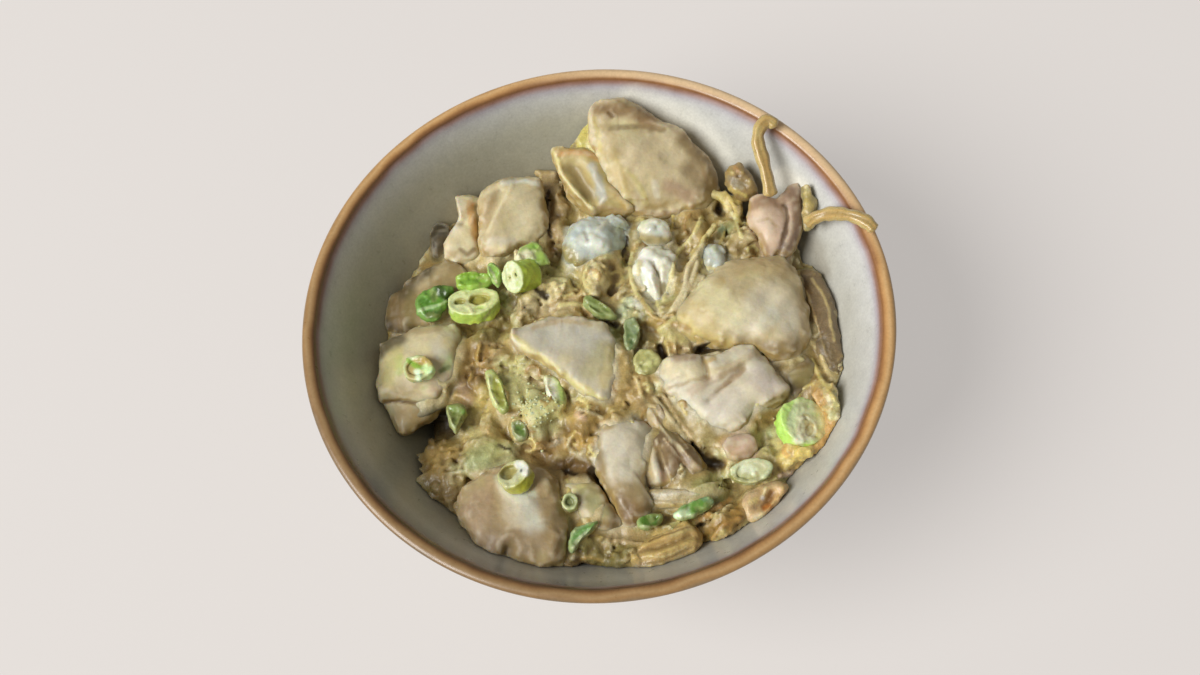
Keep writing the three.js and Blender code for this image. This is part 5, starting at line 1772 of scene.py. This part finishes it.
def bed_field(pieces):
    """The egg bed with what rises round the pieces, its curds, laps and clefts, and its relief."""
    field = bare_bed()
    for curd in CURDS:
        field.join(curd.distance, curd.box(2), 1.5)
    for piece in pieces:
        field.join(fillet(piece), piece.box(4), 4)
    for piece in LEAVES.values():
        field.join(clinging(piece.distance, 0.75, 0.7, 4), piece.box(3), 1.6)
    for ring in rings.values():
        field.join(clinging(ring.solid, 0.9, 0.9, 14), ring.box(2), 2)
    add_small_curds(field)
    for pixels, heights, radius, _ in LAPS:
        path = lap_path(pixels, heights)
        field.join(lap(path, radius), box_round(path, radius + 2), 1.8)
    for pixels, radius in CLEFTS_WITH_PAINTED_SHADE:
        path = dropped(field, open_curve(pixels, 4)) - (0, 0, 0.5 * radius)
        field.carve(thread(path, radius), box_round(path, radius + 2), 0.8)
    field.roughen(lambda points: bed_relief(points) + stroke_relief(points, BED_MARKS_AND_PAINTED_LIGHT), 3.4)
    for piece in LEAVES.values():
        field.carve(over(piece), piece.box(4), 0.5)
    clear_wall(field)
    return field


def clear_wall(field):
    """Takes away what would lie in the wall of the bowl or under it."""
    x, y = np.meshgrid(field.axes[0], field.axes[1], indexing="ij")
    r = np.hypot(x, y)
    under = wall_height(r)[..., None] + WALL_CLEARANCE - field.axes[2]
    under = under / np.sqrt(1 + wall_slope(r) ** 2)[..., None]
    field.values = np.maximum(field.values, under).astype(np.float32)


def add_grains(field):
    """Drops crumbs of egg on the surface, in clusters."""
    random = np.random.default_rng(33)
    for centre, spread, count, radius in GRAINS:
        pixels = centre + np.array(spread) * np.clip(random.normal(0, 0.6, (count, 2)), -1.5, 1.5)
        for place in dropped(field, pixels):
            size = radius * random.uniform(0.5, 1.3)
            if wall_height(math.hypot(*place[:2])) > place[2] - 0.6:
                continue
            at = place + (0, 0, 0.1 * size)
            stretch = random.uniform(0.7, 1.5, 3)
            field.join(crumb(at, size, stretch), (at - 1.5 * size - 1, at + 1.5 * size + 1), 0.8)


def foam_mesh(field):
    """Half sunk bubbles."""
    centre, spread, count = FOAM
    random = np.random.default_rng(41)
    places = dropped(field, centre + np.array(spread) * random.normal(0, 0.8, (count, 2)))
    tip, turn = np.meshgrid(np.linspace(0.02, math.pi - 0.02, 5), np.arange(8) * math.pi / 4, indexing="ij")
    ball = np.stack([np.cos(tip), np.sin(tip) * np.cos(turn), np.sin(tip) * np.sin(turn)], -1).reshape(-1, 3)
    faces = tube_faces(*tip.shape)[:, ::-1]
    sizes = random.uniform(0.2, 0.5, (count, 1, 1))
    vertices = places[:, None] - (0, 0, 0.12) + ball * sizes * (1, 1, 0.65)
    faces = faces + len(ball) * np.arange(count)[:, None, None]
    return vertices.reshape(-1, 3), faces.reshape(-1, 4)


def add_threads(field):
    """Lays the threads of egg on the surface, and many small loose ones. Returns their paths and colours."""
    laid = []
    for pixels, radius, colour in THREADS:
        path = dropped(field, open_curve(pixels, 4))
        path[:, 2] += 0.25 * radius
        laid.append((path, radius, colour))
    random = np.random.default_rng(21)
    for _ in range(LOOSE_THREADS):
        start = random.uniform((395, 150), (838, 570))
        turn = random.uniform(0, 2 * math.pi)
        bend = random.uniform(-0.8, 0.8)
        stride = random.uniform(2, 5.5)
        pixels = [start]
        for _ in range(5):
            pixels.append(pixels[-1] + stride * np.array((math.cos(turn), math.sin(turn))))
            turn += bend
        path = dropped(field, open_curve(pixels, 3))
        radius = random.uniform(0.2, 0.42)
        colour = random.choice(["pale yellow", "yellow", "gold", "cream", "deep gold", "tan meat"])
        if np.ptp(path[:, 2]) < 5 and wall_height(np.hypot(*path[:, :2].T)).max() < path[:, 2].min() - 1:
            path[:, 2] += 0.3 * radius
            laid.append((path, radius, str(colour)))
    for path, radius, _ in laid:
        field.join(thread(path, radius), box_round(path, radius + 1.5), 0.35)
    laps = [(lap_path(pixels, heights), radius + 0.6, colour) for pixels, heights, radius, colour in LAPS]
    return laid + laps


def bed_tint(vertices, faces, threads, coloured):
    """The bed's colours: warm and green patches, a painted highlight on its bumps and painted shade in its
    hollows, strokes, the colours of the pieces nearby, threads and painted shade in the clefts."""
    fine = hollowness(vertices, faces, 3)
    broad = hollowness(vertices, faces, 14)
    tint = plain(vertices, (188, 167, 108))
    tint = mixed(tint, "olive", 0.4 * eased(rough(vertices, 11, 71, 2), 0.1, 0.8))
    tint = mixed(tint, "orange gold", 0.35 * eased(rough(vertices, 9, 75, 2), 0.25, 0.9))
    # Painted highlight: paler and yellower on the broad swells
    tint = mixed(tint, "yellow", 0.6 * eased(-broad, 0.05, 0.7))
    # Painted highlight: cream on the tops of small bumps, in patches
    tint = mixed(tint, "cream", 0.85 * eased(-fine, 0.02, 0.14) * eased(rough(vertices, 6, 78, 2), -0.7, 0.2))
    tint = mixed(tint, "pale green", 0.4 * eased(rough(vertices, 5, 86, 2), 0.3, 0.9))
    tint = stroked(tint, vertices, BED_MARKS_AND_PAINTED_LIGHT, 31)
    close = np.zeros(len(vertices))
    for colour, piece in coloured:
        near = within(vertices, piece.box(3))
        away = piece.distance(vertices[near]) + 0.6 * noise(vertices[near], 3, 8)
        lay(tint, near, colour, 0.55 * (1 - eased(away, 0.1, 1.6)))
        close[near] = np.maximum(close[near], 1 - eased(away, 0.4, 3))
    tint = mottled(tint, vertices, 81, 0.15)
    for path, radius, colour in threads:
        near = within(vertices, box_round(path, radius + 0.5))
        lay(tint, near, colour, 0.7 * (1 - eased(to_path(vertices[near], path) - radius, 0, 0.35)))
    # Painted shade: brown in broad and small hollows, less of it beside the pieces
    tint = mixed(tint, "brown", 0.75 * eased(broad, 0.1, 1.3) * (1 - 0.6 * close))
    tint = mixed(tint, "brown", 0.65 * eased(fine, 0.02, 0.24) * (1 - 0.3 * close))
    pixels = wobbled(vertices, 37, 0.6)
    # Painted shade: dark laid along the clefts
    for path, radius in CLEFTS_WITH_PAINTED_SHADE:
        near, away = near_stroke(pixels, mark(path, radius))
        lay(tint, near, "dark", 0.95 * (1 - eased(away, 0.6, 1.6)))
    return tint


# Pieces on the bed

def fibres(points, seed):
    """Noise drawn out along the grain of the meat."""
    turn = 1.3 * seed
    along = points @ np.array((math.cos(turn), math.sin(turn), 0.2))
    across = points @ np.array((-math.sin(turn), math.cos(turn), 0.1))
    return noise(np.stack([along / 6, across / 0.8, points[..., 2] / 1.3], -1), 1, seed)


def creases(points, cell, seed):
    """Thin lines where noise changes sign, in some places."""
    line = np.exp(-((noise(points, cell, seed) / 0.07) ** 2))
    return line * eased(noise(points, 1.6 * cell, seed + 1), -0.2, 0.4)


def meat_relief(points, seed):
    """Simmered meat: broad dents, smooth in some places and crumbled in others, with creases and fibres."""
    crumbled = eased(noise(points, 8, seed + 7), 0.0, 0.55)
    relief = 0.6 * noise(points, 9, seed) + 0.2 * noise(points, 4, seed + 1)
    relief = relief + 0.08 * noise(points, 1.6, seed + 2)
    relief = relief + crumbled * 0.35 * (0.6 - to_nearest_seed(points, 2.6, seed))
    relief = relief + 0.05 * fibres(points, seed)
    return relief - 0.22 * creases(points, 8, seed + 9) - 0.14 * creases(points, 4, seed + 12)


def soft_relief(points, seed):
    """Set egg: soft bumps and thin wrinkles."""
    relief = 0.5 * noise(points, 5, seed) + 0.3 * noise(points, 2, seed + 1)
    relief = relief + 0.1 * noise(points, 0.9, seed + 2)
    return relief - 0.4 * creases(points, 4.5, seed + 5) + 0.7 * (0.6 - to_nearest_seed(points, 3, seed))


def fold_relief(points, seed):
    """The relief of the bed, weaker and taken from elsewhere."""
    return 0.5 * bed_relief(points + 31 * seed)


def torn(points, lobes, seed):
    """Uneven edges: relief only near the outlines of the lobes."""
    out = np.min([lobe.outward(points) for lobe in lobes], 0)
    ragged = 0.7 * noise(points, 4, seed + 60) + 0.5 * noise(points, 1.8, seed + 61)
    return ragged * np.exp(-(((out - 1) / 0.16) ** 2))


def lobes_mesh(lobes, strokes, step, relief, seed):
    """A piece of one or more lobes with its relief and torn edges."""
    def all_relief(points):
        return relief(points, seed) + torn(points, lobes, seed) + stroke_relief(points, strokes)
    lows, highs = zip(*(lobe.box(2.2) for lobe in lobes))
    field = Field(np.min(lows, 0), np.max(highs, 0), step)
    for lobe in lobes:
        field.join(lobe.distance, field.whole(), LOBE_BLEND)
    field.roughen(all_relief, 2.6)
    clear_wall(field)
    return field.mesh()


def coated(tint, vertices, seed, low=0.4, high=4.2, colour=EGG_COAT):
    """Egg over the foot of a piece, up to an uneven height above the bed."""
    x, y, z = vertices.T
    above = z - bed_height(x, y) - 1.6 * rough(vertices, 4, seed, 3)
    return mixed(tint, colour, 0.8 * (1 - eased(above, low, high)))


def meat_tint(vertices, faces, base, strokes, seed):
    """Meat: warmer and paler patches, fibres, egg on its foot, egg and painted shade on its steep sides,
    painted shade in its hollows and a painted highlight on its bumps.
    """
    tint = plain(vertices, base)
    tint = mixed(tint, "tan meat", 0.22 * eased(rough(vertices, 9, seed + 20, 2), 0.2, 0.9))
    tint = mixed(tint, "pale yellow", 0.3 * eased(rough(vertices, 8, seed + 23, 2), 0.25, 0.9))
    tint = stroked(tint, vertices, strokes, seed)
    tint = mottled(tint, vertices, seed + 30, 0.05) * (1 + 0.035 * fibres(vertices, seed))[:, None]
    tint = coated(tint, vertices, seed + 33)
    # The egg tone on the steep sides is also painted shade: it tones down the flanks that face the lamp
    steep = 1 - normals_of(vertices, faces)[:, 2] + 0.25 * noise(vertices, 4, seed + 40)
    tint = mixed(tint, EGG_COAT, 0.75 * eased(steep, 0.3, 0.85))
    # Painted shade in the hollows and a painted highlight on the bumps
    tint = mixed(tint, "brown meat", 0.7 * eased(hollowness(vertices, faces, 4), 0.04, 0.3))
    return mixed(tint, "ivory", 0.35 * eased(-hollowness(vertices, faces, 2), 0.01, 0.08))


def soft_tint(vertices, faces, base, strokes, seed):
    """Set egg: pale green patches, egg on its foot, and painted shade in its hollows."""
    tint = plain(vertices, base)
    tint = mixed(tint, "pale green", 0.5 * eased(rough(vertices, 4, seed + 20, 2), 0.2, 0.8))
    tint = stroked(tint, vertices, strokes, seed)
    tint = mottled(tint, vertices, seed + 30, 0.07)
    tint = coated(tint, vertices, seed + 33, 0.0, 1.6)
    # Painted shade in the hollows
    return mixed(tint, "olive", 0.5 * eased(hollowness(vertices, faces, 4), 0.04, 0.3))


def fold_tint(vertices, faces, base, strokes, seed):
    """Folds of egg: a painted highlight on the bumps and painted shade in the hollows."""
    tint = plain(vertices, base)
    tint = stroked(tint, vertices, strokes, seed)
    tint = mottled(tint, vertices, seed + 30, 0.12)
    # Painted highlight on the bumps and painted shade in the hollows
    tint = mixed(tint, "yellow", 0.4 * eased(-hollowness(vertices, faces, 3), 0.02, 0.15))
    return mixed(tint, "brown", 0.6 * eased(hollowness(vertices, faces, 4), 0.05, 0.35))


def leaf_mesh(lobe, strokes, seed):
    """A bit of leaf with a frayed, raised edge and a sunk middle."""
    def relief(points):
        out = lobe.outward(points)
        cupped = 0.45 * np.exp(-(((out - 0.8) / 0.18) ** 2)) - 0.5 * np.exp(-((out / 0.55) ** 2))
        frayed = 0.55 * noise(points, 2.4, seed) + 0.3 * noise(points, 1.2, seed + 1)
        frayed = frayed + 0.1 * noise(points, 0.6, seed + 2)
        return cupped + frayed + stroke_relief(points, strokes)
    field = Field(*lobe.box(2.2), SMALL_STEP)
    field.join(lobe.distance, field.whole(), 0.1)
    field.roughen(relief, 2.2)
    return field.mesh()


def leaf_tint(vertices, faces, lobe, inside, edge, strokes, seed):
    """A bit of leaf: its inside, its paler edge, strokes, egg on its foot, and painted shade in its hollows.
    """
    tint = plain(vertices, inside)
    out = lobe.outward(vertices) + 0.12 * noise(vertices, 1.6, seed + 3)
    tint = mixed(tint, edge, 0.9 * eased(out, 0.6, 0.9))
    tint = stroked(tint, vertices, strokes, seed)
    tint = mottled(tint, vertices, seed + 30, 0.12)
    tint = mixed(tint, "green egg", 0.4 * eased(rough(vertices, 2.5, seed + 25, 3), 0.3, 0.8))
    tint = coated(tint, vertices, seed + 33, -1.1, 1.2, (184, 174, 108))
    # Painted shade in the hollows
    return mixed(tint, (86, 104, 46), 0.35 * eased(hollowness(vertices, faces, 4), 0.04, 0.3))


# Strands of simmered onion

def strand_mesh(points):
    """A flat ribbed strand along points, and how far round and along it each vertex lies."""
    path = open_curve(np.concatenate([on_plane([pixel], height) for pixel, height in points]), 14)
    along = np.gradient(path, axis=0)
    along /= np.linalg.norm(along, axis=1)[:, None]
    across = np.cross(along, np.array(view_back))
    across /= np.linalg.norm(across, axis=1)[:, None]
    lift = np.cross(across, along)
    run = np.linspace(0, 1, len(path))
    taper = np.sqrt(np.clip(np.minimum(run / 0.03, (1 - run) / 0.05), 0.004, 1))
    turn = np.arange(STRAND_SIDES) * 2 * math.pi / STRAND_SIDES
    ribs = 1 + 0.05 * np.cos(6 * turn) - 0.1 * np.exp(-((turn - math.pi / 2) ** 2) / 0.06)
    uneven = 1 + 0.08 * np.sin(17 * run + 1) + 0.05 * np.sin(41 * run)
    wide = STRAND_HALF_WIDTH * (taper * uneven)[:, None] * (ribs * np.cos(turn))[None]
    deep = STRAND_HALF_DEPTH * taper[:, None] * (ribs * np.sin(turn))[None]
    vertices = path[:, None] + wide[..., None] * across[:, None] + deep[..., None] * lift[:, None]
    faces = tube_faces(len(path), STRAND_SIDES)
    return vertices.reshape(-1, 3), faces, np.tile(turn, len(path)), np.repeat(run, STRAND_SIDES)


def strand_tint(vertices, turn, run, seed):
    """Paler edges, a brown line along the top, and streaks."""
    tint = plain(vertices, "strand")
    edge = np.abs(np.cos(turn))
    tint = mixed(tint, "strand edge", 0.75 * eased(edge, 0.55, 0.95))
    tint = mixed(tint, "brown", 0.4 * eased(np.sin(turn), 0.93, 1.0))
    streak = noise(np.stack([run * 6, turn * 3, run * 0], 1), 1, seed)
    tint = mixed(tint, "deep gold", 0.5 * eased(streak, 0.1, 0.7))
    return mixed(tint, "pale yellow", 0.35 * eased(-streak, 0.2, 0.8))


# Bowl

def bowl_profile():
    """Points from the middle of the floor over the lip and down to the middle of the underside."""
    radii = INNER_RADIUS * np.linspace(0, 1, BOWL_STEPS + 1) ** 0.8
    radii = radii[wall_height(radii) < RIM_HEIGHT - LIP_DROP - 0.5]
    inner = np.stack([radii, wall_height(radii)], 1)
    turn = np.pi * np.arange(LIP_STEPS + 1) / LIP_STEPS
    half = WALL / 2
    lip = np.stack(
        [RIM_RADIUS - half - half * np.cos(turn), RIM_HEIGHT - LIP_DROP + half * 0.6 * np.sin(turn)], 1
    )
    radii = INNER_RADIUS * np.linspace(0.985, 4 / 9, 50)
    slope = wall_slope(radii)
    length = np.hypot(1, slope)
    thickness = BASE_THICKNESS + (WALL - BASE_THICKNESS) * radii / INNER_RADIUS
    outer = np.stack([radii + thickness * slope / length, wall_height(radii) - thickness / length], 1)
    foot = [
        (FOOT_OUTER_RADIUS + 1.2, 2.4), (FOOT_OUTER_RADIUS + 0.4, 0.6), (FOOT_OUTER_RADIUS - 0.3, 0),
        (FOOT_INNER_RADIUS + 0.4, 0), (FOOT_INNER_RADIUS - 0.1, 0.5), (FOOT_INNER_RADIUS - 1, FOOT_RECESS),
        (20, FOOT_RECESS), (0.01, FOOT_RECESS),
    ]
    inner[0, 0] = 0.01
    return np.concatenate([inner, lip, outer, foot]), len(inner)


def bowl_mesh():
    """The bowl, and how far along the profile each vertex lies from the lip's inner corner."""
    profile, corner = bowl_profile()
    turn = np.arange(BOWL_SEGMENTS) * 2 * math.pi / BOWL_SEGMENTS
    r, z = profile.T
    wave = 1 + 0.0012 * np.sin(2 * turn + 0.6)
    x, y = r[:, None] * np.cos(turn) * wave, r[:, None] * np.sin(turn) * wave
    vertices = np.stack([x, y, np.tile(z[:, None], len(turn))], -1)
    faces = tube_faces(len(profile), BOWL_SEGMENTS)
    run = np.concatenate([[0], np.cumsum(np.hypot(*np.diff(profile, axis=0).T))])
    return vertices.reshape(-1, 3), faces, np.repeat(run - run[corner], BOWL_SEGMENTS)


# Colours across the lip: the length along the profile from the lip's inner corner, and the colour there
LIP_COLOURS = [
    (-40, (162, 158, 142)), (-14, (182, 181, 172)), (-5, (196, 196, 192)), (-3, (190, 189, 190)),
    (-1.9, (170, 160, 168)), (-1.0, (146, 116, 108)), (-0.2, (118, 80, 52)), (0.8, (138, 96, 56)),
    (1.7, (180, 138, 88)), (2.6, (196, 160, 112)), (3.4, (178, 138, 88)), (4.3, (160, 132, 96)),
    (5.6, (146, 130, 110)), (8.5, (156, 150, 136)), (13, (166, 164, 150)), (60, (162, 160, 146)),
    (70, (156, 138, 112)),
]


def bowl_tint(vertices, length):
    """The glaze: bands across the lip, painted light and shade round the bowl and on its wall, and bare clay
    under the foot.
    """
    wander = 0.45 * rough(vertices * (1, 1, 0.3), 9, 3, 3)
    shades = np.array([linear(colour) for _, colour in LIP_COLOURS])
    places = [place for place, _ in LIP_COLOURS]
    tint = np.stack([np.interp(length + wander, places, shades[:, k]) for k in range(3)], 1)
    turn = np.arctan2(vertices[:, 1], vertices[:, 0])
    lip = eased(length, -1.5, -0.3) * (1 - eased(length, 5, 8))
    # Painted light and shade on the lip: darker towards the near left, lighter towards the far right and the
    # near right
    shade = 0.5 - 0.5 * np.cos(turn - math.radians(55))
    near_right = eased(np.cos(turn + math.radians(58)), 0.55, 1)
    tint *= (1 + lip * (0.2 - 0.66 * eased(shade, 0.2, 1) + 0.2 * near_right))[:, None]
    # A painted highlight: pale cream on the outer part of the lip towards the far right
    tint = mixed(tint, (236, 212, 176), 0.55 * lip * eased(1 - shade, 0.8, 1) * eased(length, 0.3, 1.6))
    # Painted shade: the wall inside darker towards the far left
    far_left = 0.5 - 0.5 * np.cos(turn + math.radians(35))
    dim = (eased(-length, 2, 14) * eased(far_left, 0.4, 0.9))[:, None]
    tint *= 1 - dim * np.array((0.13, 0.15, 0.26))
    # A painted shadow just under the lip, on the wall inside towards the near left
    band = eased(-length, 0.5, 2.5) * (1 - eased(-length, 4, 11)) * eased(shade, 0.6, 1)
    tint *= 1 - 0.38 * band[:, None]
    # Painted light and painted shadow on the wall inside
    inside = length < 0
    tint[inside] = stroked(tint[inside], vertices[inside], WALL_PAINTED_LIGHT_AND_SHADOW, 3)
    tint = mottled(tint, vertices, 6, 0.025)
    bare = eased(-vertices[:, 2], -2.2, -1.2)
    return mixed(tint, (176, 158, 132), bare)


# Materials

def added(tree, kind, **values):
    """A new node, with properties and inputs set by name."""
    node = tree.nodes.new(kind)
    for name, value in values.items():
        if hasattr(node, name):
            setattr(node, name, value)
        else:
            node.inputs[name.replace("_", " ")].default_value = value
    return node


def link(tree, source, output, target, socket):
    tree.links.new(source.outputs[output], target.inputs[socket])


def nodes_of(name, roughness, gloss):
    """A material with a coat of some gloss, its node tree and its shader."""
    material = bpy.data.materials.new(name)
    material.use_nodes = True
    tree = material.node_tree
    shader = tree.nodes["Principled BSDF"]
    shader.inputs["Roughness"].default_value = roughness
    shader.inputs["Coat Weight"].default_value = gloss
    shader.inputs["Coat Roughness"].default_value = 0.12
    shader.inputs["Coat IOR"].default_value = 1.38
    return material, tree, shader


def two_noises(tree, fine_cell, fine_detail, broad_cell, broad_detail):
    """A fine and a broad noise, which change over a cell in millimetres."""
    place = added(tree, "ShaderNodeTexCoord")
    pair = []
    for cell, detail in ((fine_cell, fine_detail), (broad_cell, broad_detail)):
        node = added(tree, "ShaderNodeTexNoise", Scale=1000 / cell, Detail=detail, Roughness=0.6)
        link(tree, place, "Object", node, "Vector")
        pair.append(node)
    return pair


def ranged(tree, source, low, high):
    """The middle values of a noise, spread from low to high."""
    node = added(tree, "ShaderNodeMapRange", From_Min=0.3, From_Max=0.7, To_Min=low, To_Max=high)
    link(tree, source, "Fac", node, "Value")
    return node


def paint_shader(tree, shader, fine, broad, fine_share, broad_share, gloss_range):
    """The painted tint with fine and broad grain, and uneven gloss."""
    tint = added(tree, "ShaderNodeAttribute", attribute_name="tint")
    shade = ranged(tree, fine, 1 - fine_share, 1 + fine_share)
    patch = ranged(tree, broad, 1 - broad_share, 1 + broad_share)
    both = added(tree, "ShaderNodeMath", operation="MULTIPLY")
    link(tree, shade, "Result", both, 0)
    link(tree, patch, "Result", both, 1)
    colour = added(tree, "ShaderNodeVectorMath", operation="SCALE")
    link(tree, tint, "Color", colour, 0)
    link(tree, both, "Value", colour, "Scale")
    link(tree, colour, "Vector", shader, "Base Color")
    link(tree, ranged(tree, broad, *gloss_range), "Result", shader, "Roughness")


def food_material(name, roughness, gloss, grain, relief, scatter, depth, contrast=0.1):
    """A moist food: the painted tint, light that enters it, and a fine relief."""
    material, tree, shader = nodes_of(name, roughness, gloss)
    fine, broad = two_noises(tree, grain, 4, grain * 4, 3)
    paint_shader(tree, shader, fine, broad, contrast, contrast * 0.7, (roughness - 0.12, roughness + 0.16))
    shader.inputs["Subsurface Weight"].default_value = scatter
    shader.inputs["Subsurface Radius"].default_value = (1.0, 0.6, 0.25)
    shader.inputs["Subsurface Scale"].default_value = depth * MM
    swell = added(tree, "ShaderNodeBump", Strength=0.6, Distance=relief * MM)
    pore = added(tree, "ShaderNodeBump", Strength=0.5, Distance=relief * 0.45 * MM)
    link(tree, broad, "Fac", swell, "Height")
    link(tree, fine, "Fac", pore, "Height")
    link(tree, swell, "Normal", pore, "Normal")
    link(tree, pore, "Normal", shader, "Normal")
    return material


def glaze_material():
    """A satin stoneware glaze with fine pale and dark specks."""
    material, tree, shader = nodes_of("glaze", 0.32, 0.35)
    fine, broad = two_noises(tree, 0.7, 2, 3.2, 4)
    paint_shader(tree, shader, fine, broad, 0.07, 0.05, (0.26, 0.42))
    bump = added(tree, "ShaderNodeBump", Strength=0.35, Distance=0.12 * MM)
    link(tree, broad, "Fac", bump, "Height")
    link(tree, bump, "Normal", shader, "Normal")
    return material


# Dressing

def dress_bowl():
    vertices, faces, length = bowl_mesh()
    tint = bowl_tint(vertices, length)
    finished("look_bowl", vertices, faces[:, ::-1], tint, glaze_material(), "bowl", shade=1)


def hidden_under(vertices, pieces):
    """Which vertices of the bed lie deep down or inside a piece."""
    x, y, z = vertices.T
    hidden = z < np.minimum(bed_height(x, y) - 3.5, 37)
    for piece in pieces:
        low, high = piece.box(0)
        near = np.flatnonzero(((vertices > low) & (vertices < high)).all(1) & ~hidden)
        hidden[near] = piece.distance(vertices[near]) < -1.4
    return hidden


def dress_bed(coloured):
    """Makes the egg bed and its foam, from the colours and lobes of the pieces on it, and returns the
    material of egg."""
    pieces = [piece for _, piece in coloured]
    field = bed_field(pieces)
    add_grains(field)
    threads = add_threads(field)
    clear_wall(field)
    vertices, faces = field.mesh()
    tint = bed_tint(vertices, faces, threads, coloured)
    rows = np.concatenate([vertices, tint], 1)
    gathered, faces = thinned(rows, faces, hidden_under(vertices, pieces), 4)
    material = food_material("egg", 0.42, 0.24, 0.5, 0.35, 0.4, 1.8, 0.12)
    finished("look_egg_bed", gathered[:, :3], faces, gathered[:, 3:], material, "egg_bed")
    vertices, faces = foam_mesh(field)
    finished("egg_foam", vertices, faces, plain(vertices, (214, 216, 164)), material)
    return material


def dress_lobes(table, looks, material, step, relief, paint):
    for seed, (node, lobes) in enumerate(table.items(), 1):
        base, strokes = looks[node]
        vertices, faces = lobes_mesh(lobes, strokes, step, relief, seed)
        tint = paint(vertices, faces, base, strokes, seed)
        finished("look_" + node, vertices, faces, tint, material, node)


def dress_leaves(material):
    for seed, (node, lobe) in enumerate(LEAVES.items(), 1):
        inside, edge, strokes = LEAF_LOOKS[node]
        vertices, faces = leaf_mesh(lobe, strokes, seed)
        tint = leaf_tint(vertices, faces, lobe, inside, edge, strokes, seed)
        finished("look_" + node, vertices, faces, tint, material, node)


def dress_rings(material):
    for node, ring in rings.items():
        vertices, faces = ring.mesh(RING_LOOKS[node][-1])
        tint = ring.tint(vertices, faces, *RING_LOOKS[node])
        finished("look_" + node, vertices, faces, tint, material, node)


def dress_strands():
    material = food_material("strand", 0.3, 0.6, 0.5, 0.12, 0.4, 1.2)
    for seed, (node, points) in enumerate(STRANDS.items(), 1):
        vertices, faces, turn, run = strand_mesh(points)
        tint = strand_tint(vertices, turn, run, seed)
        finished("look_" + node, vertices, faces[:, ::-1], tint, material, node)


# Studio

def add_floor():
    mesh = bpy.data.meshes.new("floor")
    mesh.from_pydata([(-4, -4, 0), (4, -4, 0), (4, 4, 0), (-4, 4, 0)], [], [(0, 1, 2, 3)])
    material, tree, shader = nodes_of("floor", 0.8, 0)
    shader.inputs["Base Color"].default_value = (*linear((156, 152, 149)), 1)
    shader.inputs["Emission Color"].default_value = (*linear((226, 221, 218)), 1)
    shader.inputs["Emission Strength"].default_value = FLOOR_GLOW
    shader.inputs["Specular IOR Level"].default_value = 0.1
    mesh.materials.append(material)
    floor = bpy.data.objects.new("floor", mesh)
    bpy.context.scene.collection.objects.link(floor)


def add_light(name, direction, distance, size, power, colour):
    light = bpy.data.lights.new(name, "AREA")
    light.shape, light.size, light.energy, light.color = "DISK", size, power, colour
    lamp = bpy.data.objects.new(name, light)
    lamp.location = Vector(direction).normalized() * distance + Vector((0, 0, 0.05))
    lamp.rotation_euler = Vector(direction).to_track_quat("Z", "Y").to_euler()
    bpy.context.scene.collection.objects.link(lamp)


def add_world():
    world = bpy.data.worlds.new("studio")
    world.use_nodes = True
    background = world.node_tree.nodes["Background"]
    background.inputs["Color"].default_value = (1.0, 0.96, 0.88, 1)
    background.inputs["Strength"].default_value = WORLD_LIGHT
    bpy.context.scene.world = world


def add_camera():
    camera_data = bpy.data.cameras.new("view")
    camera_data.sensor_fit = "HORIZONTAL"
    camera_data.sensor_width = SENSOR_WIDTH
    camera_data.lens = VIEW_FOCAL_PIXELS / PHOTO_WIDTH * SENSOR_WIDTH
    camera = bpy.data.objects.new("view", camera_data)
    axes = Matrix((view_right, view_up, view_back)).transposed()
    camera.matrix_world = Matrix.Translation(view_eye * MM) @ axes.to_4x4()
    bpy.context.scene.collection.objects.link(camera)
    bpy.context.scene.camera = camera


bpy.context.scene.view_settings.view_transform = "Standard"
add_camera()
add_world()
add_floor()
add_light("key", KEY_DIRECTION, KEY_DISTANCE, KEY_SIZE, KEY_POWER, (1.0, 0.995, 0.98))

dress_bowl()
meat = food_material("chicken", 0.5, 0.12, 0.9, 0.2, 0.6, 3.2, 0.05)
pale_onion = food_material("onion_pale", 0.36, 0.3, 0.4, 0.1, 0.35, 1.4, 0.07)
white = food_material("egg_white", 0.34, 0.35, 0.7, 0.12, 0.5, 2.6, 0.04)
egg = dress_bed(
    [(looks[node][0], lobe)
     for table, looks in ((CHICKEN, CHICKEN_LOOKS), (EGG_WHITE, WHITE_LOOKS), (EGG_FOLDS, FOLD_LOOKS))
     for node, lobes in table.items() for lobe in lobes]
)
dress_lobes(CHICKEN, CHICKEN_LOOKS, meat, MEAT_STEP, meat_relief, meat_tint)
dress_lobes(EGG_WHITE, WHITE_LOOKS, white, WHITE_STEP, soft_relief, soft_tint)
dress_lobes(EGG_FOLDS, FOLD_LOOKS, egg, FOLD_STEP, fold_relief, fold_tint)
dress_leaves(pale_onion)
dress_rings(pale_onion)
dress_strands()
